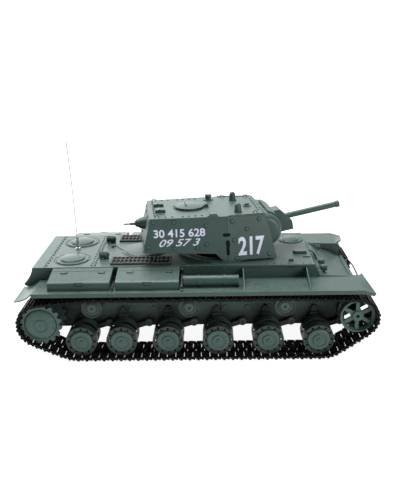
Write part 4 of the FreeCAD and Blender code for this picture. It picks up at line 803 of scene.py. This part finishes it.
tie_spots = [(x / 1000, y / 1000, deck_top(x, y)[0].z + 0.0003) for x, y in TIE_WIRE]
wire_piece("deck_tie_wire", tie_spots, 0.00028, black)


# ---- glacis and driver's plate ----


STRIP_X, GLACIS_BOLT_X, PLATE_BOLT_X = 151.5, 156, 144.5
VISOR_Y, VISOR_HALF = 30, 10  # the bolts leave this stretch of the driver's plate free
glacis_strip = bmesh.new()
strip(glacis_strip, [on_top(SHELL, STRIP_X, y) for y in (-57, -30, 0, 30, 57)], 1.6, 0.5, 0.2)
finish_piece("glacis_strip", glacis_strip, "hull", green)
glacis_y = (*span(-56, -20, 6), *span(20, 56, 6))
deck_bolts("glacis_bolts", [(GLACIS_BOLT_X, y) for y in glacis_y], 0.9, 0.5)
plate_y = [y for y in span(-54, 54, 10) if abs(y - VISOR_Y) > VISOR_HALF]
deck_bolts("driver_plate_bolts", [(PLATE_BOLT_X, y) for y in plate_y], 0.85, 0.45)


# ---- stern, and the turret's rear plate ----


STERN_ROWS = ((SHELL, 92), ("lower_hull", 62))  # node, z
REAR_PLUGS = ((-36, 152), (-12, 152), (12, 152), (36, 152),
              (-42, 126), (-20, 124), (20, 124), (42, 126))  # v, z
stern = [land(node, mm(-OUTSIDE_MM, y, z), FORWARD)
         for node, z in STERN_ROWS for y in span(-50, 50, 9)]
heads("stern_bolts", stern, 1.1, 0.7, material=plug_green, sides=10)
rear_spots = [turret_rear(v, z) for v, z in REAR_PLUGS]
heads("turret_rear_plugs", rear_spots, PLUG_RADIUS, PLUG_HEIGHT, "turret", plug_green, sides=20)
rear_seam = bmesh.new()
strip(rear_seam, [turret_rear(v, 150) for v in (-30, -15, 15, 30)], 0.5, 0.08, 0.03)
shadow_piece("turret_rear_seam", rear_seam, "turret")


# ---- hull sides ----


RIVET_X, RIVET_Z = (*span(-12, 50, 8), *span(58, 126, 8)), 98.3
for side, word in SIDES:
    heads(f"hull_side_rivets_{word}", [on_side(SHELL, side, x, RIVET_Z) for x in RIVET_X], 1.0, 0.7)


# ---- boxes and straps on the fenders ----


BOXES = ((-168, -97.4), (-91.2, -19))  # their rear and front ends
HINGE_Y, LID_SEAM_Y, LATCH_Z = 72, 68.5, 93.6
TAB_SIZE, TAB_SHADOW = (7, 3.4, 0.8), (8, 4.4, 0.3)
LATCH_SIZE, LATCH_SHADOW = (8.5, 3.6, 0.9), (9.5, 4.6, 0.3)
TAB_SCREW = ((0.6, 0.4), (0.6, 0.9), (0.3, 1.0), (0, 1.0))
LATCH_PIN = ((0.8, 0.5), (0.8, 1.2), (0.4, 1.5), (0, 1.5))
STRAP_X, STRAP_Y = (-94.3, -15.9), (62, 80, 100)
BUCKLES = ((70, 7), (95, 3))  # y, height

tabs, latches, lines, straps = (bmesh.new() for _ in range(4))
for side, _ in SIDES:
    for rear, front in BOXES:
        for x in (rear + 15, front - 12):  # two hinge tabs a box
            spot, normal = on_top("fender_stowage", x, side * HINGE_Y)
            place = facing(spot, normal, FORWARD)
            block(tabs, TAB_SIZE, place, 0.25)
            block(lines, TAB_SHADOW, place, 0.1)
            for offset in (-2, 2):
                lathe(tabs, TAB_SCREW, facing(spot + mm(offset, 0, 0), normal), 8)
        seam = [on_top("fender_stowage", x, side * LID_SEAM_Y)
                for x in span(rear + 1.5, front - 1.5, 4)]
        strip(lines, seam, 0.5, 0.06, 0.02)
        spot, normal = on_side("fender_stowage", side, (rear + front) / 2, LATCH_Z)
        place = facing(spot, normal, FORWARD)
        block(latches, LATCH_SIZE, place, 0.25)
        block(lines, LATCH_SHADOW, place, 0.1)
        lathe(latches, LATCH_PIN, facing(spot, normal), 10)
    for x in STRAP_X:
        strip(straps, [on_top("fenders", x, side * y) for y in STRAP_Y], 2.0, 0.7, 0.2)
        for y, tall in BUCKLES:
            block(straps, (2.6, 2.2, tall), facing(*on_top("fenders", x, side * y)), 0.3)
finish_piece("box_hinge_tabs", tabs, "hull", green)
finish_piece("box_latches", latches, "hull", green)
shadow_piece("box_lid_lines", lines)
finish_piece("fender_straps", straps, "hull", black)


# ---- black rubber bump stops, and the rings and nuts on the arm pivots ----


STOP_Y, STOP_BEHIND = 62.4, 1.3  # from the middle of the tank, and behind the wheel's axle
STOP_BLOCKS = ((42.4, (7.5, 3.6, 6)), (48.2, (5, 3.2, 3)))  # z, size
ARM_MM, ARM_Y, ARM_Z = 29.5, 67.05, 31.8
PIVOT_RING = ((3.9, -0.8), (3.9, 0.1), (3.3, 0.35), (2.2, 0.35), (2.2, -0.2), (0, -0.2))
PIVOT_NUT, NUT_CIRCLE = ((0.45, -0.1), (0.45, 0.35), (0, 0.45)), 3.05

stops, pivots = bmesh.new(), bmesh.new()
for side, word in SIDES:
    for number in range(1, 7):
        axle_x = axle_of(f"road_wheel_{word[0]}{number}")[0].x * 1000
        for z, size in STOP_BLOCKS:
            block(stops, size, Matrix.Translation(mm(axle_x - STOP_BEHIND, side * STOP_Y, z)), 0.5)
        place = facing(mm(axle_x + ARM_MM, side * ARM_Y, ARM_Z), LEFT * side)
        lathe(pivots, PIVOT_RING, place, 24)
        for angle in angles(6):
            spot = place @ mm(NUT_CIRCLE * math.cos(angle), NUT_CIRCLE * math.sin(angle), 0.3)
            lathe(pivots, PIVOT_NUT, facing(spot, LEFT * side), 6)
finish_piece("bump_stops", stops, "hull", black)
finish_piece("arm_pivot_rings", pivots, "hull", plug_green)


# ---- wheels ----


CAP_LINES = (("road_wheel", "wheel", 13.0, 6),
             ("return_roller", "roller", 5.6, 3))  # node, body, radius of the line, wheels a side
CAP_BOSS = ((2.5, -0.4), (2.5, 0.5), (1.9, 0.9), (0, 1.0))
CAP_BOLT = ((0.8, -0.2), (0.8, 0.35), (0.5, 0.6), (0, 0.65))
HUB_HOLE = ((2.1, -0.3), (2.1, 0.15), (1.2, 0.1), (0, 0.1))


def wheel_line(name, node, body, axle, side, inner, width):
    """A thin line of painted shade round an axle, where one moulding meets the next."""
    spot, _ = on_side(node, side, axle.x * 1000 + inner, axle.z * 1000)
    line = bmesh.new()
    place = facing(Vector((axle.x, spot.y, axle.z)), LEFT * side)
    ring_line(line, place, inner, width, 0.15, 48, sunk=0.2)
    shadow_piece(name, line, body)


def round_axle(node, axle, side, radius, count):
    """Spots on a wheel's outer face, on a circle round its axle."""
    x, z = axle.x * 1000, axle.z * 1000
    return [on_side(node, side, x + radius * math.cos(a), z + radius * math.sin(a))
            for a in angles(count, 0.5)]


def wheel_cap(name, node, body, axle, side):
    """Hub boss and bolts on a road wheel's cap."""
    parts = bmesh.new()
    spot, _ = on_side(node, side, axle.x * 1000, axle.z * 1000)
    lathe(parts, CAP_BOSS, facing(spot, LEFT * side), 20)
    for face, _ in round_axle(node, axle, side, 6.8, 6):
        lathe(parts, CAP_BOLT, facing(face, LEFT * side), 8)
    finish_piece(name, parts, body, wheel_bolt_green)


for _, word in SIDES:
    tag = word[0]
    for kind, moving, inner, count in CAP_LINES:
        for number in range(1, count + 1):
            node = f"{kind}_{tag}{number}"
            body = f"{moving}_{tag}{number}"
            wheel_line(f"{kind}_line_{tag}{number}", node, body, *axle_of(node), inner, 0.5)
for _, word in SIDES:
    for tag in (f"{word[0]}{number}" for number in range(1, 7)):
        node = f"road_wheel_{tag}"
        wheel_cap(f"wheel_cap_bolts_{tag}", node, f"wheel_{tag}", *axle_of(node))
for side, word in SIDES:
    body = f"sprocket_{word}"
    node = f"drive_{body}"
    axle = joint_place(f"{body}_spin")
    wheel_line(f"sprocket_line_{word}", node, body, axle, side, 18.2, 0.6)
    axle_hole = bmesh.new()
    hub = joint_place(f"idler_{word}_spin") * 1000
    spot, _ = on_side(f"idler_{word}", side, hub.x, hub.z)
    lathe(axle_hole, HUB_HOLE, facing(spot, LEFT * side), 20)
    shadow_piece(f"idler_hub_hole_{word}", axle_hole, f"idler_{word}")
    bolts = round_axle(node, axle, side, 15.8, 12)
    heads(f"sprocket_bolts_{word}", bolts, 1.0, 0.6, body, wheel_bolt_green)


# ---- aerial ----


AERIAL_X, AERIAL_Y = -151.8, 6
WHIP_MM = ((AERIAL_X, AERIAL_Y, 112), (AERIAL_X, AERIAL_Y, 135), (-152.4, 6, 175), (-153.6, 6, 210),
           (-155, 6, 238.4))
FOOT_Z = on_top(SHELL, AERIAL_X, AERIAL_Y)[0].z * 1000
FOOT_PROFILE = ((3.2, FOOT_Z - 0.2), (3.2, FOOT_Z + 0.9), (2.7, FOOT_Z + 1.6), (1.0, FOOT_Z + 1.6))
TUBE_PROFILE = ((1.9, FOOT_Z + 1.4), (1.9, 116.4), (1.6, 117.6), (1.0, 118), (0.8, 117.4),
                (0.8, FOOT_Z + 1.4))
CORE_PROFILE = ((0.75, FOOT_Z - 0.2), (0.75, 111.4), (0.45, 113.5), (0, 113.6))


def aerial_part(name, profile, sides, material):
    parts = bmesh.new()
    lathe(parts, profile, Matrix.Translation(mm(AERIAL_X, AERIAL_Y, 0)), sides)
    finish_piece(name, parts, "hull", material)


aerial_part("aerial_foot_ring", FOOT_PROFILE, 28, chrome)
aerial_part("aerial_clear_tube", TUBE_PROFILE, 24, clear_plastic("clear_tube"))
aerial_part("aerial_dark_core", CORE_PROFILE, 16, black)
whip_spots = [mm(*spot) for spot in WHIP_MM]
whip = wire_piece("aerial_whip", whip_spots, 0.00042, pale_wire, capped=True)
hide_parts("antenna")


# ---- floor ----


FLOOR_HALF_MM, FLOOR_MM = 9000, -0.2
FLOOR_GLOW = 0.92  # keeps the paper as white as the photograph's, whatever light reaches it
floor = bmesh.new()
floor.faces.new([floor.verts.new(mm(x * FLOOR_HALF_MM, y * FLOOR_HALF_MM, FLOOR_MM))
                 for x, y in ((-1, -1), (1, -1), (1, 1), (-1, 1))])
floor_mesh = bpy.data.meshes.new("floor")
floor.to_mesh(floor_mesh)
floor.free()
floor_piece = bpy.data.objects.new("floor", floor_mesh)
bpy.context.scene.collection.objects.link(floor_piece)
paper, paper_tree, paper_shader, paper_place = new_material("floor_paper", Roughness=0.85)
paper_noise = noise(paper_tree, paper_place, scale=9, detail=3)
paper_tree.links.new(blend(paper_tree, paper_noise, (0.24, 0.24, 0.24), (0.26, 0.26, 0.26)),
                     paper_shader.inputs["Base Color"])
paper_shader.inputs["Emission Color"].default_value = (1, 1, 1, 1)
paper_shader.inputs["Emission Strength"].default_value = FLOOR_GLOW
floor_mesh.materials.append(paper)


# ---- light: a glow low down behind the tank, strongest towards its rear, and two soft boxes ----


EVEN_GLOW = 0.07
REAR_GLOW = 4.3  # times the glow over the tank's front
SEEN_GLOW = 1.2  # what the camera itself sees, so that the background stays white

scene = bpy.context.scene
scene.view_settings.view_transform = "Standard"
scene.world = bpy.data.worlds.new("studio")
scene.world.use_nodes = True
sky = scene.world.node_tree
backdrop = sky.nodes["Background"]
x, y, z = parts_of(sky, add(sky, "ShaderNodeTexCoord").outputs["Generated"])
low_share = ramp(sky, z, 0.62, 0.3)
back_share = ramp(sky, y, 0.1, 0.8)
rear_share = ramp(sky, x, 0.3, -0.35, 1.0, REAR_GLOW)
glow = calc(sky, "MULTIPLY", calc(sky, "MULTIPLY", low_share, back_share), rear_share)
glow = calc(sky, "ADD", glow, EVEN_GLOW)
seen = add(sky, "ShaderNodeLightPath").outputs["Is Camera Ray"]
strength = calc(sky, "MAXIMUM", glow, calc(sky, "MULTIPLY", seen, SEEN_GLOW))
sky.links.new(strength, backdrop.inputs["Strength"])
backdrop.inputs["Color"].default_value = (0.96, 0.99, 1, 1)


def soft_box(name, place, target, size, power, tint=(1, 1, 1)):
    light = bpy.data.lights.new(name, "AREA")
    light.shape = "RECTANGLE"
    light.size, light.size_y = size
    light.energy = power
    light.color = tint
    lamp = bpy.data.objects.new(name, light)
    scene.collection.objects.link(lamp)
    lamp.location = place
    lamp.rotation_euler = (Vector(target) - Vector(place)).to_track_quat("-Z", "Y").to_euler()


soft_box("overhead", place=(-0.3, 0.35, 1.7), target=(-0.05, 0, 0.08), size=(1.5, 1.2), power=52,
         tint=(0.96, 1, 1))
soft_box("side_fill", place=(1.3, -1.25, 0.6), target=(0.05, 0, 0.08), size=(0.8, 0.7), power=19)
